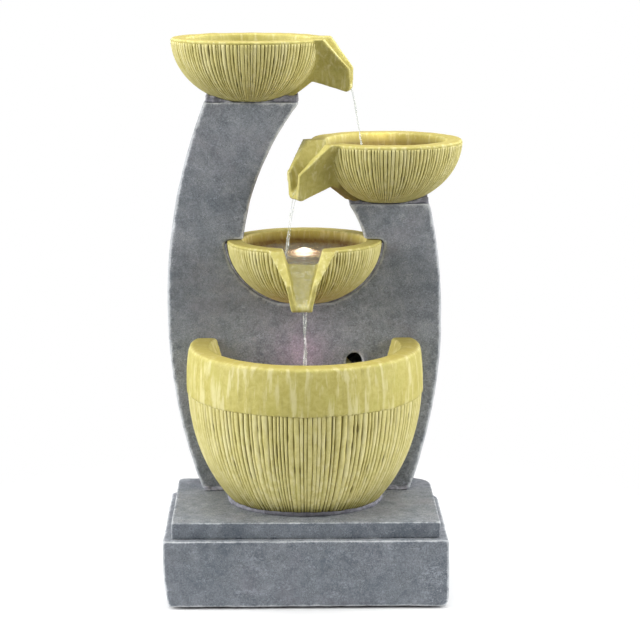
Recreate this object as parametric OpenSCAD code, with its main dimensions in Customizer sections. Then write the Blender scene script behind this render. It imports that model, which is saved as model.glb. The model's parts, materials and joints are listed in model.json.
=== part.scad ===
// Four-tier tabletop water fountain.
// Frame: origin at the centre of the underside, +Z up, the basin faces -Y. Millimetres.

/* [Plinth] */
// Width of the lower plinth block
block_w = 269; // [250:1:330]
// Depth of the lower plinth block
block_d = 170; // [168:1:220]
// Height of the lower plinth block
block_h = 65; // [45:1:90]
// Wall of the hollow plinth castings
block_wall = 10; // [8:0.5:12]
// Width of the upper step
step_w = 253; // [230:1:300]
// Depth of the upper step
step_d = 157; // [150:1:166]
// Thickness of the upper step
step_h = 16; // [12:1:24]
// Thickness of the anti-slip pad under the plinth
pad_t = 2; // [1:0.5:3]
// Thickness of the plate that closes the plinth
plate_t = 6; // [5:0.5:8]

/* [Panel] */
// Thickness of the hollow panel, front to back
panel_t = 44; // [36:1:52]
// Wall of the hollow panel
panel_wall = 6; // [5:0.5:7]
// Thickness of the rear skin
skin_t = 5; // [4:0.5:6]
// Distance from the rear of the panel to the rear of the plinth block
rear_ledge = 6; // [4:1:10]
// Widest half-width of the panel, on the left
panel_left = 133.5; // [126:0.5:150]
// Widest half-width of the panel, on the right
panel_right = 134; // [128:1:150]
// Half-width of the panel at its foot, on the left
foot_left = 101; // [90:0.5:110]
// Half-width of the panel at its foot, on the right
foot_right = 104; // [90:0.5:110]
// Height of the left horn above the step
left_horn_h = 383; // [340:1:470]
// Height of the right horn above the middle bowl's rim
right_horn_h = 35; // [20:1:60]
// Width of the left horn at its top
left_horn_w = 92; // [80:1:110]
// Width of the right horn at its top
right_horn_w = 79; // [70:1:90]
// Reach of the gap between the horns, to either side
gap_half = 61; // [50:1:66]

/* [Bowls] */
// Outer radius of the top bowl
top_bowl_r = 75; // [70:1:84]
// Outer radius of the second bowl
second_bowl_r = 74; // [70:1:84]
// Outer radius of the middle bowl
middle_bowl_r = 75.5; // [68:0.5:92]
// Height of a bowl
bowl_h = 60; // [56:1:64]
// Width of a bowl's rim
rim_t = 16; // [12:0.5:18]
// Thickness of a bowl's floor
floor_t = 12; // [10:1:14]
// Height of the middle bowl's rim above the step
middle_rim_h = 250; // [240:1:280]
// Distance of the top and second bowls in front of the panel's rear face
bowl_back = 20; // [17:1:26]
// Distance of the middle bowl's centre behind the panel's front face
middle_bowl_in = 10; // [6:1:14]

/* [Basin] */
// Largest outer radius of the basin
basin_r = 113; // [95:1:120]
// Height of the basin's rim above the step
basin_h = 154; // [140:1:165]
// Distance of the basin's axis in front of the panel
basin_out = 29; // [20:1:34]
// Width of the basin's rim
basin_rim_t = 19; // [18:1:25]
// Thickness of the basin's floor
basin_floor_t = 13; // [10:1:16]
// Depth of the smooth band below the basin's rim
band_h = 45; // [40:1:56]

/* [Water path] */
// Outer radius of the delivery hose
hose_r = 5; // [4:0.25:5.5]
// Radius of the pump's rotor well
well_r = 8.2; // [7:0.1:9]
// Radius of the impeller's shaft
shaft_r = 1.2; // [0.8:0.1:1.5]
// Radius of the hole through a bowl's floor
floor_hole_r = 7; // [6:0.25:8]

/* [Lights and power] */
// Radius of a light's housing
light_r = 11; // [9:0.5:13]
// Radius of a light's lead
lead_r = 1.6; // [1.2:0.1:2]
// Radius of the plug socket in the power jack
jack_bore_r = 2.8; // [2.5:0.05:3]

/* [Hidden] */

$fn = 96;
big_fn = 180;          // long, gentle arcs
eps = 0.01;            // overshoot of a cut
run_gap = 0.05;        // radial clearance of a running fit
fit_gap = 0.2;         // clearance of a loose fit
seat_gap = 0.4;        // clearance round a removable cover

stone_grey = "dimgray";
bowl_olive = "darkkhaki";
cement_grey = "gray";

// Heights
plinth_top = pad_t + block_h;
step_top = plinth_top + step_h;
bed_t = 1;             // cement under the foot of a bowl
bed_h = 6;             // height of a cement bed at its ends
middle_rim_z = step_top + middle_rim_h;
left_top = step_top + left_horn_h;
right_top = middle_rim_z + right_horn_h;
top_rim_z = left_top + bed_t + bowl_h;
second_rim_z = right_top + bed_t + bowl_h;
basin_rim_z = step_top + basin_h;

// Panel, seen from the front: two outer arcs and two arcs round the gap
panel_rear_y = block_d / 2 - rear_ledge;
panel_front_y = panel_rear_y - panel_t;
skin_y = panel_rear_y - skin_t;
function arc_r(chord, rise) = (chord * chord + rise * rise) / (2 * rise);
left_arc_z = step_top + 0.483 * left_horn_h;
left_arc_r = arc_r(left_arc_z - step_top, panel_left - foot_left);
right_arc_z = step_top + 0.45 * left_horn_h;
right_arc_r = arc_r(right_arc_z - step_top, panel_right - foot_right);
foot_wall = 10;        // wall across the foot of the panel
grout_t = 1.5;         // cement round the middle bowl
notch_t = 0.5;         // room over the middle bowl's rim

function left_edge(z) = left_arc_r - panel_left
  - sqrt(pow(left_arc_r, 2) - pow(z - left_arc_z, 2));
function right_edge(z) = panel_right - right_arc_r
  + sqrt(pow(right_arc_r, 2) - pow(z - right_arc_z, 2));
gap_left_z = middle_rim_z - 30;
gap_left_r = arc_r(left_top - gap_left_z, left_edge(left_top) + left_horn_w + gap_half);
gap_left_x = gap_left_r - gap_half;
gap_right_z = middle_rim_z - 23;
gap_right_r = arc_r(right_top - gap_right_z, gap_half - right_edge(right_top) + right_horn_w);
gap_right_x = gap_half - gap_right_r;
function gap_left_edge(z) = gap_left_x - sqrt(pow(gap_left_r, 2) - pow(z - gap_left_z, 2));
function gap_right_edge(z) = gap_right_x + sqrt(pow(gap_right_r, 2) - pow(z - gap_right_z, 2));

// Bowls
top_shift = 3;          // how far the top bowl sits to the left of its horn's middle
second_shift = 2;       // the same, on the second bowl
top_x = (left_edge(left_top) + gap_left_edge(left_top)) / 2 - top_shift;
second_x = (right_edge(right_top) + gap_right_edge(right_top)) / 2 - second_shift;
bowl_y = panel_rear_y - bowl_back;
middle_y = panel_front_y + middle_bowl_in;
middle_light_y = panel_front_y + panel_wall + floor_hole_r + 2;
bowl_round = 4;        // how much deeper the bowl's ellipse is than the bowl
top_turn = -9;         // directions that the spouts point in
second_turn = 205;
middle_turn = -92;
inner_h = bowl_h - floor_t;
floor_flat = 18;        // radius of the flat floor inside
rim_round = 2.5;

// Spout: its side view, and its V section, from the bowl's centre and rim
spout_reach = 25;      // tip beyond the bowl's rim
second_reach = 26;
middle_reach = 24;
spout_half = [32, 15, 9.5];    // half widths at the rim, at the bend and at the foot
channel_half = [19, 10, 5];
spout_bend = 29;       // drop of the edge where the tip begins
spout_drop = 51;       // drop of the tip's lower corner
long_drop = 55;        // the same, on the two longer spouts
spout_root = 41;       // drop of the spout's root on the bowl
keel_out = 34;         // distance of the keel's lower end inside the bowl's rim
spout_sill = 15;       // drop of the sill that the water runs over
spout_lip = 5;         // height of the channel's floor above the tip's lower corner

// Basin
basin_y = panel_front_y - basin_out;
basin_belly = basin_h - 36;    // height of the widest ring
basin_round = 150;             // half-height of the basin's ellipse
band_out = 1.2;                // how far the band stands proud
hollow_out = 4;                // how far the hollow sits in front of the basin's axis
hollow_lean = 6;               // how far the hollow's wall leans in below its rim
collar_h = 7;
collar_t = 6;

// Pump, on the basin's floor with its intake to the front
pump_x = 14;
pump_w = 40;
pump_l = 32;
pump_h = 36;
pump_gap = 3;                  // from the panel
cup_h = 6;
pump_z0 = step_top + basin_floor_t + cup_h;
axis_z = pump_z0 + pump_h / 2;
pump_back_y = panel_front_y - pump_gap;
pump_front_y = pump_back_y - pump_l;
boss_l = 8;
boss_r = well_r + 7;
chamber_l = 14;
chamber_y = pump_front_y - boss_l;
chamber_front_y = chamber_y - chamber_l;
chamber_bore_r = boss_r - 3;
well_l = 26;
bush_l = 3;
bush_r = shaft_r + 2;
intake_r = 5;
stub_r = 6;
stub_bore_r = 4;
stub_top = axis_z + boss_r + 14;
stub_y = chamber_y - chamber_l / 2;
strainer_t = 2;
strainer_gap = 1;
strainer_l = chamber_l + boss_l + 6;
strainer_front_y = pump_front_y - strainer_l;
dial_r = 9;
dial_t = 2.5;

// Passage from the basin into the panel
pass_x = 48.5;
pass_r = 7.6;
pass_z = basin_rim_z - 37;     // level of the hose
pass_top_z = basin_rim_z - 23.4;
pass_lead_z = pass_z + 9.6;    // level of the pump's lead, above the hose
upper_z = basin_rim_z - 18;    // level where the lights' leads come down

// Lights
light_h = 9;
lens_h = 4;
lens_lip = 2;
light_shift = 6;               // from the second bowl's centre
basin_light_z = basin_rim_z - 38;
basin_light_r = 7;
grommet_t = 2;
grommet_lip = 2;

// Nozzle of the top bowl
nozzle_bore_r = 4;
nozzle_flange_r = 12;
nozzle_flange_t = 3;
nozzle_up = 14;
nozzle_tail = 16;
nut_t = 6;
nut_r = 12;
seal_t = 1.5;
top_floor_z = top_rim_z - inner_h;

// Hatch, jack and junction box at the rear
hatch_w = 86;
hatch_h = 66;
hatch_x = 22;
hatch_z = step_top + 72;
hatch_lip = 5;
hatch_t = 3;
hatch_corner = 8;
tab_w = 14;
tab_l = 9;
tab_t = 3;
jack_x = -62;
jack_z = step_top + 30;
jack_r = 5.5;
jack_l = 16;
jack_bore_l = 9.5;
jack_flange_r = 8;
jack_flange_t = 2;
box_w = 44;
box_d = 18;
box_h = 26;
box_x = -20;
box_z = step_top + 66;

// Fasteners
bolt_r = 3;
bolt_x = 70;
bolt_head_r = 5.5;
bolt_head_t = 4;
insert_r = 5;
screw_r = 1.9;
screw_head_r = 3.8;
screw_head_t = 2.5;
screw_l = 20;
screw_inset = 22;
boss_post_r = 7;
pad_inset = 5;

function ellipse(a, b, from, to, steps) =
  [for (i = [0:steps]) let(t = from + (to - from) * i / steps) [a * cos(t), b * sin(t)]];
function foot_angle(h, b) = asin(h / b);

// Bent tubes: a smooth line through route points, swept with a polygon
function smooth(a, b, c, d, t) = 0.5 * (2 * b + (c - a) * t
  + (2 * a - 5 * b + 4 * c - d) * t * t + (3 * b - a - 3 * c + d) * t * t * t);
function line_through(p, k) = concat(
  [for (i = [0:len(p) - 2], j = [0:k - 1])
    smooth(p[max(i - 1, 0)], p[i], p[i + 1], p[min(i + 2, len(p) - 1)], j / k)],
  [p[len(p) - 1]]);
function unit(v) = v / norm(v);
function heading(p) = [for (i = [0:len(p) - 1])
  unit(p[min(i + 1, len(p) - 1)] - p[max(i - 1, 0)])];
function square_to(n, t) = unit(n - (n * t) * t);
function sides(t, n, i = 0) = i >= len(t) ? []
  : let(m = square_to(n, t[i])) concat([m], sides(t, m, i + 1));

module tube(route, r, steps, start, facets = 8) {
  p = line_through(route, steps);
  t = heading(p);
  n = sides(t, start);
  rings = len(p);
  points = [for (i = [0:rings - 1], k = [0:facets - 1])
    let(a = 360 * k / facets) p[i] + r * (cos(a) * n[i] + sin(a) * cross(t[i], n[i]))];
  walls = [for (i = [0:rings - 2], k = [0:facets - 1])
    let(q = (k + 1) % facets)
      [i * facets + k, (i + 1) * facets + k, (i + 1) * facets + q, i * facets + q]];
  first = [for (k = [0:facets - 1]) k];
  last = [for (k = [facets - 1:-1:0]) (rings - 1) * facets + k];
  polyhedron(points, concat([first], walls, [last]));
}

module along_y(x, z, y0, y1) {
  translate([x, y1, z]) rotate([90, 0, 0]) linear_extrude(y1 - y0) children();
}

module slab(x0, x1, y0, y1, z0, z1) {
  translate([x0, y0, z0]) cube([x1 - x0, y1 - y0, z1 - z0]);
}

// Plan of a plinth casting: a small left rear corner and a large right one
module plan(w, d, inset, left_r, right_r) {
  x = w / 2 - inset;
  y = d / 2 - inset;
  difference() {
    square([2 * x, 2 * y], center = true);
    for (corner = [[-1, left_r], [1, right_r]]) {
      r = max(corner[1] - inset, 1);
      translate([corner[0] * (x - r), y - r]) difference() {
        translate([corner[0] > 0 ? 0 : -2 * r, 0]) square(2 * r);
        circle(r);
      }
    }
  }
}

// Front view of the block: the left side falls in towards the foot, the right has a chamfer
module block_front() {
  side_in = 4.5;
  side_h = 20;
  chamfer = 3;
  polygon([
    [-block_w / 2, plinth_top], [-block_w / 2, pad_t + block_h - side_h],
    [-block_w / 2 + 1.5, pad_t + side_h], [-block_w / 2 + side_in, pad_t],
    [block_w / 2 - chamfer, pad_t], [block_w / 2, pad_t + 2 * chamfer],
    [block_w / 2, plinth_top]]);
}

module at_base_screws() {
  for (x = [-1, 1], y = [-1, 1])
    translate([x * (block_w / 2 - screw_inset), y * (block_d / 2 - screw_inset), 0]) children();
}

module at_panel_bolts() {
  for (x = [-bolt_x, bolt_x]) translate([x, (panel_front_y + skin_y) / 2, 0]) children();
}

left_corner = 6;
right_corner = 30;
ceiling_z = plinth_top - block_wall;
plate_top = pad_t + plate_t;
wire_x = -22;                  // hole for air and for drying the hollow plinth
wire_r = 6;

module plinth_block() {
  color(stone_grey) difference() {
    intersection() {
      translate([0, 0, pad_t]) linear_extrude(block_h)
        plan(block_w, block_d, 0, left_corner, right_corner);
      along_y(0, 0, -block_d, block_d) block_front();
    }
    difference() {
      translate([0, 0, plate_top]) linear_extrude(ceiling_z - plate_top)
        plan(block_w, block_d, block_wall, left_corner, right_corner);
      at_base_screws() cylinder(h = plinth_top, r = boss_post_r);
    }
    translate([0, 0, pad_t - eps]) linear_extrude(plate_t + eps)
      plan(block_w, block_d, block_wall - 2, left_corner, right_corner);
    at_base_screws() cylinder(h = pad_t + screw_l + plate_t, r = screw_r + fit_gap / 2);
    at_panel_bolts() cylinder(h = plinth_top + 1, r = bolt_r + fit_gap);
    translate([wire_x, (panel_front_y + skin_y) / 2, 0]) cylinder(h = plinth_top + 1, r = wire_r);
  }
}

module plinth_step() {
  color(stone_grey) difference() {
    translate([0, panel_rear_y - step_d / 2, plinth_top]) linear_extrude(step_h)
      plan(step_w, step_d, 0, left_corner, right_corner - 5);
    at_panel_bolts() cylinder(h = step_top + 1, r = bolt_r + fit_gap);
    translate([wire_x, (panel_front_y + skin_y) / 2, 0]) cylinder(h = step_top + 1, r = wire_r);
  }
}

module base_plate() {
  color("black") difference() {
    translate([0, 0, pad_t]) linear_extrude(plate_t)
      plan(block_w, block_d, block_wall - 2 + seat_gap, left_corner, right_corner);
    at_base_screws() {
      cylinder(h = plate_top + 1, r = screw_r + fit_gap);
      cylinder(h = pad_t + screw_head_t + fit_gap, r = screw_head_r + fit_gap);
    }
  }
}

module base_pad() {
  color("darkslategray") difference() {
    linear_extrude(pad_t) plan(block_w, block_d, block_wall + pad_inset, left_corner, right_corner);
    at_base_screws() translate([0, 0, -1]) cylinder(h = pad_t + 2, r = screw_head_r + 1);
  }
}

module base_screws() {
  color("silver") at_base_screws() translate([0, 0, pad_t + fit_gap]) {
    difference() {
      cylinder(h = screw_head_t, r = screw_head_r);
      translate([0, 0, -eps]) cylinder(h = 1.2, r = 1.6, $fn = 6);
    }
    cylinder(h = screw_l, r = screw_r);
  }
}

module bowl_outline(a, b, cut, grow) {
  t = foot_angle(cut, b);
  polygon(concat([[0, 0]], ellipse(a + grow, b + grow, 0, -t, 14),
    [[0, -(b + grow) * sin(t)]]));
}

// Front view of the gap between the horns, and of the notch for the middle bowl
module horn_gap(inset) {
  floor_z = middle_rim_z;
  reach = panel_right + 40;
  intersection() {
    translate([gap_left_x, gap_left_z]) circle(gap_left_r + inset, $fn = big_fn);
    union() {
      translate([-reach, right_top - inset]) square([2 * reach, left_top]);
      intersection() {
        translate([gap_right_x, gap_right_z]) circle(gap_right_r + inset, $fn = big_fn);
        translate([-reach, floor_z - eps]) square([2 * reach, right_top - floor_z + 1]);
      }
    }
  }
}

module bowl_notch(inset) {
  grow = grout_t + inset;
  translate([0, middle_rim_z]) {
    for (side = [0, 1]) mirror([side, 0])
      bowl_outline(middle_bowl_r, bowl_h + bowl_round, bowl_h, grow);
    translate([-middle_bowl_r - grow, -eps])
      square([2 * (middle_bowl_r + grow), notch_t + inset + eps]);
  }
}

module panel_front(inset, foot, gap_inset) {
  difference() {
    intersection() {
      translate([left_arc_r - panel_left, left_arc_z]) circle(left_arc_r - inset, $fn = big_fn);
      translate([panel_right - right_arc_r, right_arc_z]) circle(right_arc_r - inset, $fn = big_fn);
      translate([-panel_left, step_top + foot])
        square([panel_left + panel_right, left_horn_h - foot - inset]);
    }
    horn_gap(gap_inset);
    bowl_notch(gap_inset);
  }
}

module passage() {
  rise = pass_top_z - pass_z;
  circle(pass_r);
  translate([0, rise]) circle(pass_r);
  translate([-pass_r, 0]) square([2 * pass_r, rise]);
}

module back_panel() {
  color(stone_grey) difference() {
    along_y(0, 0, panel_front_y, skin_y) panel_front(0, 0, 0);
    along_y(0, 0, panel_front_y + panel_wall, skin_y + 1)
      panel_front(panel_wall, foot_wall, panel_wall);
    along_y(pass_x, pass_z, panel_front_y - 1, panel_front_y + panel_wall + 1) passage();
    translate([0, panel_front_y - 1, basin_light_z]) rotate([-90, 0, 0])
      cylinder(h = panel_wall + 2, r = basin_light_r + fit_gap);
    translate([top_x, bowl_y, left_top - panel_wall - 1])
      cylinder(h = panel_wall + 2, r = floor_hole_r + fit_gap);
    translate([second_x + light_shift, bowl_y, right_top - panel_wall - 1])
      cylinder(h = panel_wall + 2, r = floor_hole_r);
    translate([0, middle_light_y, middle_rim_z - bowl_h - panel_wall - grout_t - 4])
      cylinder(h = panel_wall + grout_t + 5, r = floor_hole_r);
    at_panel_bolts() translate([0, 0, step_top - 1]) cylinder(h = foot_wall + 2, r = insert_r);
    translate([wire_x, (panel_front_y + skin_y) / 2, step_top - 1])
      cylinder(h = foot_wall + 2, r = wire_r);
  }
}

module hatch_plan(grow) {
  x = hatch_w / 2 + grow;
  z = hatch_h / 2 + grow;
  r = hatch_corner;
  square([2 * (x - r), 2 * z], center = true);
  square([2 * x, 2 * (z - r)], center = true);
  for (i = [-1, 1], j = [-1, 1]) translate([i * (x - r), j * (z - r)]) circle(r);
}

module panel_rear() {
  color(stone_grey) difference() {
    along_y(0, 0, skin_y, panel_rear_y) panel_front(0, 0, 0);
    along_y(hatch_x, hatch_z, skin_y - 1, panel_rear_y + 1) hatch_plan(0);
    along_y(hatch_x, hatch_z, panel_rear_y - hatch_t, panel_rear_y + 1)
      hatch_plan(hatch_lip + seat_gap);
    translate([jack_x, skin_y - 1, jack_z]) rotate([-90, 0, 0])
      cylinder(h = skin_t + 2, r = jack_r + fit_gap);
  }
}

module access_hatch() {
  grip_r = 9;
  grip_depth = 1.5;
  color("dimgray") {
    difference() {
      along_y(hatch_x, hatch_z, panel_rear_y - hatch_t, panel_rear_y) hatch_plan(hatch_lip);
      for (side = [-1, 1])
        translate([hatch_x + side * (hatch_w / 2 - grip_r), panel_rear_y - grip_depth, hatch_z])
          rotate([-90, 0, 0]) cylinder(h = grip_depth + 1, r = grip_r);
    }
    for (side = [-1, 1], height = [-1, 1]) {
      z = hatch_z + height * (hatch_h / 2 - fit_gap - tab_t / 2);
      x = hatch_x + side * hatch_w / 4;
      slab(x - tab_w / 2, x + tab_w / 2, panel_rear_y - hatch_t - tab_l,
        panel_rear_y - hatch_t + eps, z - tab_t / 2, z + tab_t / 2);
    }
  }
}

module panel_bolts() {
  color("silver") at_panel_bolts() {
    translate([0, 0, ceiling_z - bolt_head_t])
      cylinder(h = bolt_head_t, r = bolt_head_r * 1.1, $fn = 6);
    translate([0, 0, ceiling_z - bolt_head_t])
      cylinder(h = step_top + foot_wall - ceiling_z + bolt_head_t - 1, r = bolt_r);
  }
}

module panel_inserts() {
  color("goldenrod") at_panel_bolts() translate([0, 0, step_top]) difference() {
    cylinder(h = foot_wall, r = insert_r - fit_gap / 4);
    translate([0, 0, -1]) cylinder(h = foot_wall + 2, r = bolt_r + fit_gap / 2);
  }
}

module panel_foot_beads() {
  bead = 5;
  left = left_edge(step_top) + 2;
  right = right_edge(step_top) - 2;
  clear = collar_x + 3;
  color(cement_grey) for (run = [[left, -clear], [clear, right]])
    translate([run[0], panel_front_y, step_top]) rotate([90, 0, 90])
      linear_extrude(run[1] - run[0]) polygon([[0, 0], [-bead, 0], [-bead * 0.4, bead * 0.4], [0, bead]]);
}

module bowl_body(r) {
  b = bowl_h + bowl_round;
  t = foot_angle(bowl_h, b);
  lip = ellipse(rim_round, rim_round, 0, 90, 4);
  rotate_extrude($fn = big_fn) polygon(concat(
    [[0, -bowl_h]],
    ellipse(r, b, -t, -4, 16),
    [for (p = lip) [r - rim_round + p[0], p[1] - rim_round]],
    [[0, 0]]));
}

module bowl_hollow(r) {
  a = r - rim_t;
  lip = ellipse(rim_round, rim_round, 90, 180, 4);
  rotate_extrude($fn = big_fn) polygon(concat(
    [[0, -inner_h]],
    [for (p = ellipse(a - floor_flat, inner_h, -90, -6, 14)) [p[0] + floor_flat, p[1]]],
    [for (i = [0:4]) let(p = lip[4 - i]) [a + rim_round + p[0], p[1] - rim_round]],
    [[a + rim_round, 1], [0, 1]]));
}

// The spout's side view: a sloping beak with a keel down the bowl
module spout_side(r, reach, drop) {
  keel_low = bowl_h - 2;
  tip = r + reach;
  polygon([[r - rim_t + 1, 0], [r + 1, 0], [tip, -spout_bend], [tip, -drop + 2],
    [tip - 4, -drop], [r - 12, -spout_root], [r - keel_out, -keel_low],
    [r - keel_out - 6, -keel_low], [r - rim_t - 6, -spout_root]]);
}

module channel_side(r, reach, floor_drop) {
  tip = r + reach;
  polygon([[r - rim_t - 12, 3], [r + 10, 3], [tip + 3, -spout_bend + 8],
    [tip + 3, -floor_drop - 1], [tip, -floor_drop], [r - rim_t + 2, -spout_sill],
    [r - rim_t - 12, -spout_sill]]);
}

// A V section, wide at the rim, that the side view given as a child is cut from
module v_section(length, half_w, low_z) {
  foot = low_z + 8;
  rim_half = half_w[0];
  bend_half = half_w[1];
  low_half = half_w[2];
  intersection() {
    rotate([90, 0, 0]) translate([0, 0, -rim_half]) linear_extrude(2 * rim_half) children();
    rotate([90, 0, 90]) linear_extrude(length)
      polygon([[rim_half, 4], [rim_half, 0], [bend_half, -spout_bend], [low_half, -low_z],
        [low_half, -foot], [-low_half, -foot], [-low_half, -low_z], [-bend_half, -spout_bend],
        [-rim_half, 0], [-rim_half, 4]]);
  }
}

module spout_outer(r, reach, drop) {
  v_section(r + reach + 5, spout_half, drop) spout_side(r, reach, drop);
}

module spout_channel(r, reach, drop) {
  v_section(r + reach + 5, channel_half, drop - 4) channel_side(r, reach, drop - spout_lip);
}

module bowl(r, reach, drop, hole) {
  difference() {
    union() {
      bowl_body(r);
      spout_outer(r, reach, drop);
    }
    bowl_hollow(r);
    spout_channel(r, reach, drop);
    translate([hole[0], hole[1], -bowl_h - 1]) cylinder(h = floor_t + 4, r = floor_hole_r);
  }
}

// Bowls are turned about their own axes, so a hole is placed before the turn
function unturned(v, a) = [v[0] * cos(a) + v[1] * sin(a), v[1] * cos(a) - v[0] * sin(a)];

module top_bowl() {
  color(bowl_olive) translate([top_x, bowl_y, top_rim_z]) rotate([0, 0, top_turn])
    bowl(top_bowl_r, spout_reach, spout_drop, [0, 0]);
}

module second_bowl() {
  color(bowl_olive) translate([second_x, bowl_y, second_rim_z]) rotate([0, 0, second_turn])
    bowl(second_bowl_r, second_reach, long_drop, unturned([light_shift, 0], second_turn));
}

module middle_bowl() {
  color(bowl_olive) translate([0, middle_y, middle_rim_z]) rotate([0, 0, middle_turn])
    bowl(middle_bowl_r, middle_reach, long_drop,
      unturned([0, middle_light_y - middle_y], middle_turn));
}

module bed(x, left, right, z, r, turn, rim_z, hole_x) {
  side = 1.5;            // set back from the panel's edges
  color(cement_grey) difference() {
    slab(left + side, right - side, panel_front_y + side, panel_rear_y - side, z, z + bed_h);
    translate([x, bowl_y, rim_z]) rotate([0, 0, turn]) {
      bowl_body(r);
      spout_outer(r, second_reach, long_drop);
    }
    translate([hole_x, bowl_y, z - 1]) cylinder(h = bed_h, r = floor_hole_r);
  }
}

module top_bowl_bed() {
  bed(top_x, left_edge(left_top), gap_left_edge(left_top), left_top, top_bowl_r, top_turn,
    top_rim_z, top_x);
}

module second_bowl_bed() {
  bed(second_x, gap_right_edge(right_top), right_edge(right_top), right_top, second_bowl_r,
    second_turn, second_rim_z, second_x + light_shift);
}

module middle_bowl_grout() {
  color(cement_grey) difference() {
    along_y(0, 0, panel_front_y, panel_rear_y) intersection() {
      bowl_notch(-fit_gap / 4);
      translate([-middle_bowl_r * 2, 0]) square([middle_bowl_r * 4, middle_rim_z - 3]);
    }
    translate([0, middle_y, middle_rim_z]) rotate([0, 0, middle_turn]) {
      bowl_body(middle_bowl_r);
      spout_outer(middle_bowl_r, middle_reach, long_drop);
    }
    translate([0, middle_light_y, middle_rim_z - bowl_h - 10]) cylinder(h = 20, r = floor_hole_r);
  }
}

// Basin: part of an ellipse turned about an axis in front of the panel, cut by the panel
function basin_edge(h) = basin_r * sqrt(1 - pow((h - basin_belly) / basin_round, 2));
basin_foot_r = basin_edge(0);
collar_x = sqrt(pow(basin_foot_r + collar_t, 2) - pow(basin_out, 2));

module basin_outer(grow) {
  low = basin_h - band_h;
  rotate_extrude($fn = big_fn) polygon(concat(
    [[0, 0]],
    [for (i = [0:14]) let(h = low * i / 14) [basin_edge(h) + grow, h]],
    [for (i = [0:8]) let(h = low + (band_h - rim_round) * i / 8)
      [basin_edge(h) + band_out + grow, h]],
    [[basin_edge(basin_h) - rim_round * 0.3 + grow, basin_h - rim_round * 0.3],
      [basin_edge(basin_h) - rim_round + grow, basin_h], [0, basin_h]]));
}

module basin_hollow() {
  a = basin_edge(basin_h) - basin_rim_t;
  low_a = a - hollow_lean;
  rotate_extrude($fn = big_fn) polygon(concat(
    [[0, basin_floor_t]],
    [for (i = [0:12]) let(t = 90 * i / 12)
      [low_a - 18 + 18 * sin(t), basin_floor_t + 50 - 50 * cos(t)]],
    [[low_a, basin_h - 26], [a, basin_h - rim_round], [a + rim_round * 0.3, basin_h - rim_round * 0.3],
      [a + rim_round, basin_h], [a + rim_round, basin_h + 1], [0, basin_h + 1]]));
}

module basin() {
  color(bowl_olive) intersection() {
    translate([0, basin_y, step_top]) difference() {
      basin_outer(0);
      translate([0, -hollow_out, 0]) basin_hollow();
    }
    slab(-2 * basin_r, 2 * basin_r, -3 * basin_r, panel_front_y, 0, basin_rim_z + 1);
  }
}

module basin_collar() {
  color(cement_grey) intersection() {
    translate([0, basin_y, step_top]) difference() {
      rotate_extrude($fn = big_fn) polygon([[basin_foot_r - 4, 0], [basin_foot_r + collar_t, 0],
        [basin_foot_r + collar_t - 1, collar_h * 0.5], [basin_foot_r + 2, collar_h],
        [basin_foot_r - 4, collar_h]]);
      basin_outer(0);
    }
    slab(-2 * basin_r, 2 * basin_r, -3 * basin_r, panel_front_y, 0, basin_rim_z);
  }
}

module on_pump_axis(y) {
  translate([pump_x, y, axis_z]) rotate([-90, 0, 0]) children();
}

module pump_body() {
  w = pump_w / 2;
  corner = 4;
  cheek_t = 2;
  color("black") difference() {
    union() {
      translate([0, pump_back_y, 0]) rotate([90, 0, 0]) linear_extrude(pump_l)
        translate([pump_x, axis_z]) {
          square([pump_w - 2 * corner, pump_h], center = true);
          square([pump_w, pump_h - 2 * corner], center = true);
          for (i = [-1, 1], j = [-1, 1])
            translate([i * (w - corner), j * (pump_h / 2 - corner)]) circle(corner);
        }
      on_pump_axis(chamber_y) cylinder(h = boss_l + 1, r = boss_r);
    }
    on_pump_axis(chamber_y - 1) cylinder(h = well_l + 1, r = well_r);
    on_pump_axis(chamber_y + well_l - 1) cylinder(h = bush_l + 1, r = bush_r + fit_gap / 4);
    at_suction_feet() translate([0, 0, -1]) cylinder(h = cheek_t + 1, r = 2);
  }
}

module pump_chamber() {
  spokes = 3;
  color("dimgray") {
    difference() {
      union() {
        on_pump_axis(chamber_front_y) cylinder(h = chamber_l, r = boss_r);
        translate([pump_x, stub_y, axis_z]) cylinder(h = stub_top - axis_z, r = stub_r);
      }
      on_pump_axis(chamber_front_y + 3) cylinder(h = chamber_l, r = chamber_bore_r);
      on_pump_axis(chamber_front_y - 1) cylinder(h = 5, r = intake_r);
      translate([pump_x, stub_y, axis_z]) cylinder(h = stub_top, r = stub_bore_r);
    }
    difference() {
      on_pump_axis(chamber_front_y) {
        cylinder(h = bush_l, r = bush_r + 1);
        for (i = [0:spokes - 1]) rotate([0, 0, i * 360 / spokes]) translate([0, -0.8, 0])
          cube([intake_r + 1, 1.6, bush_l]);
      }
      on_pump_axis(chamber_front_y - 1) cylinder(h = bush_l + 2, r = bush_r + fit_gap / 4);
    }
  }
}

module impeller() {
  vanes = 6;
  vane_t = 1.2;
  vane_r = chamber_bore_r - 1;
  vane_l = 7;
  rotor_r = well_r - 0.5;
  rotor_l = well_l - 4;
  hub_r = 4;
  color("white") difference() {
    union() {
      on_pump_axis(chamber_y + 1) cylinder(h = rotor_l, r = rotor_r);
      on_pump_axis(chamber_y - vane_l) cylinder(h = vane_l + 2, r = hub_r);
      on_pump_axis(chamber_y - vane_l) for (i = [0:vanes - 1])
        rotate([0, 0, i * 360 / vanes]) translate([0, -vane_t / 2, 0])
          cube([vane_r, vane_t, vane_l]);
    }
    on_pump_axis(chamber_front_y) cylinder(h = chamber_l + well_l, r = shaft_r + run_gap);
  }
}

module impeller_shaft() {
  color("ivory") on_pump_axis(chamber_front_y + 0.5)
    cylinder(h = chamber_l + well_l + bush_l - 2, r = shaft_r);
}

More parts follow.
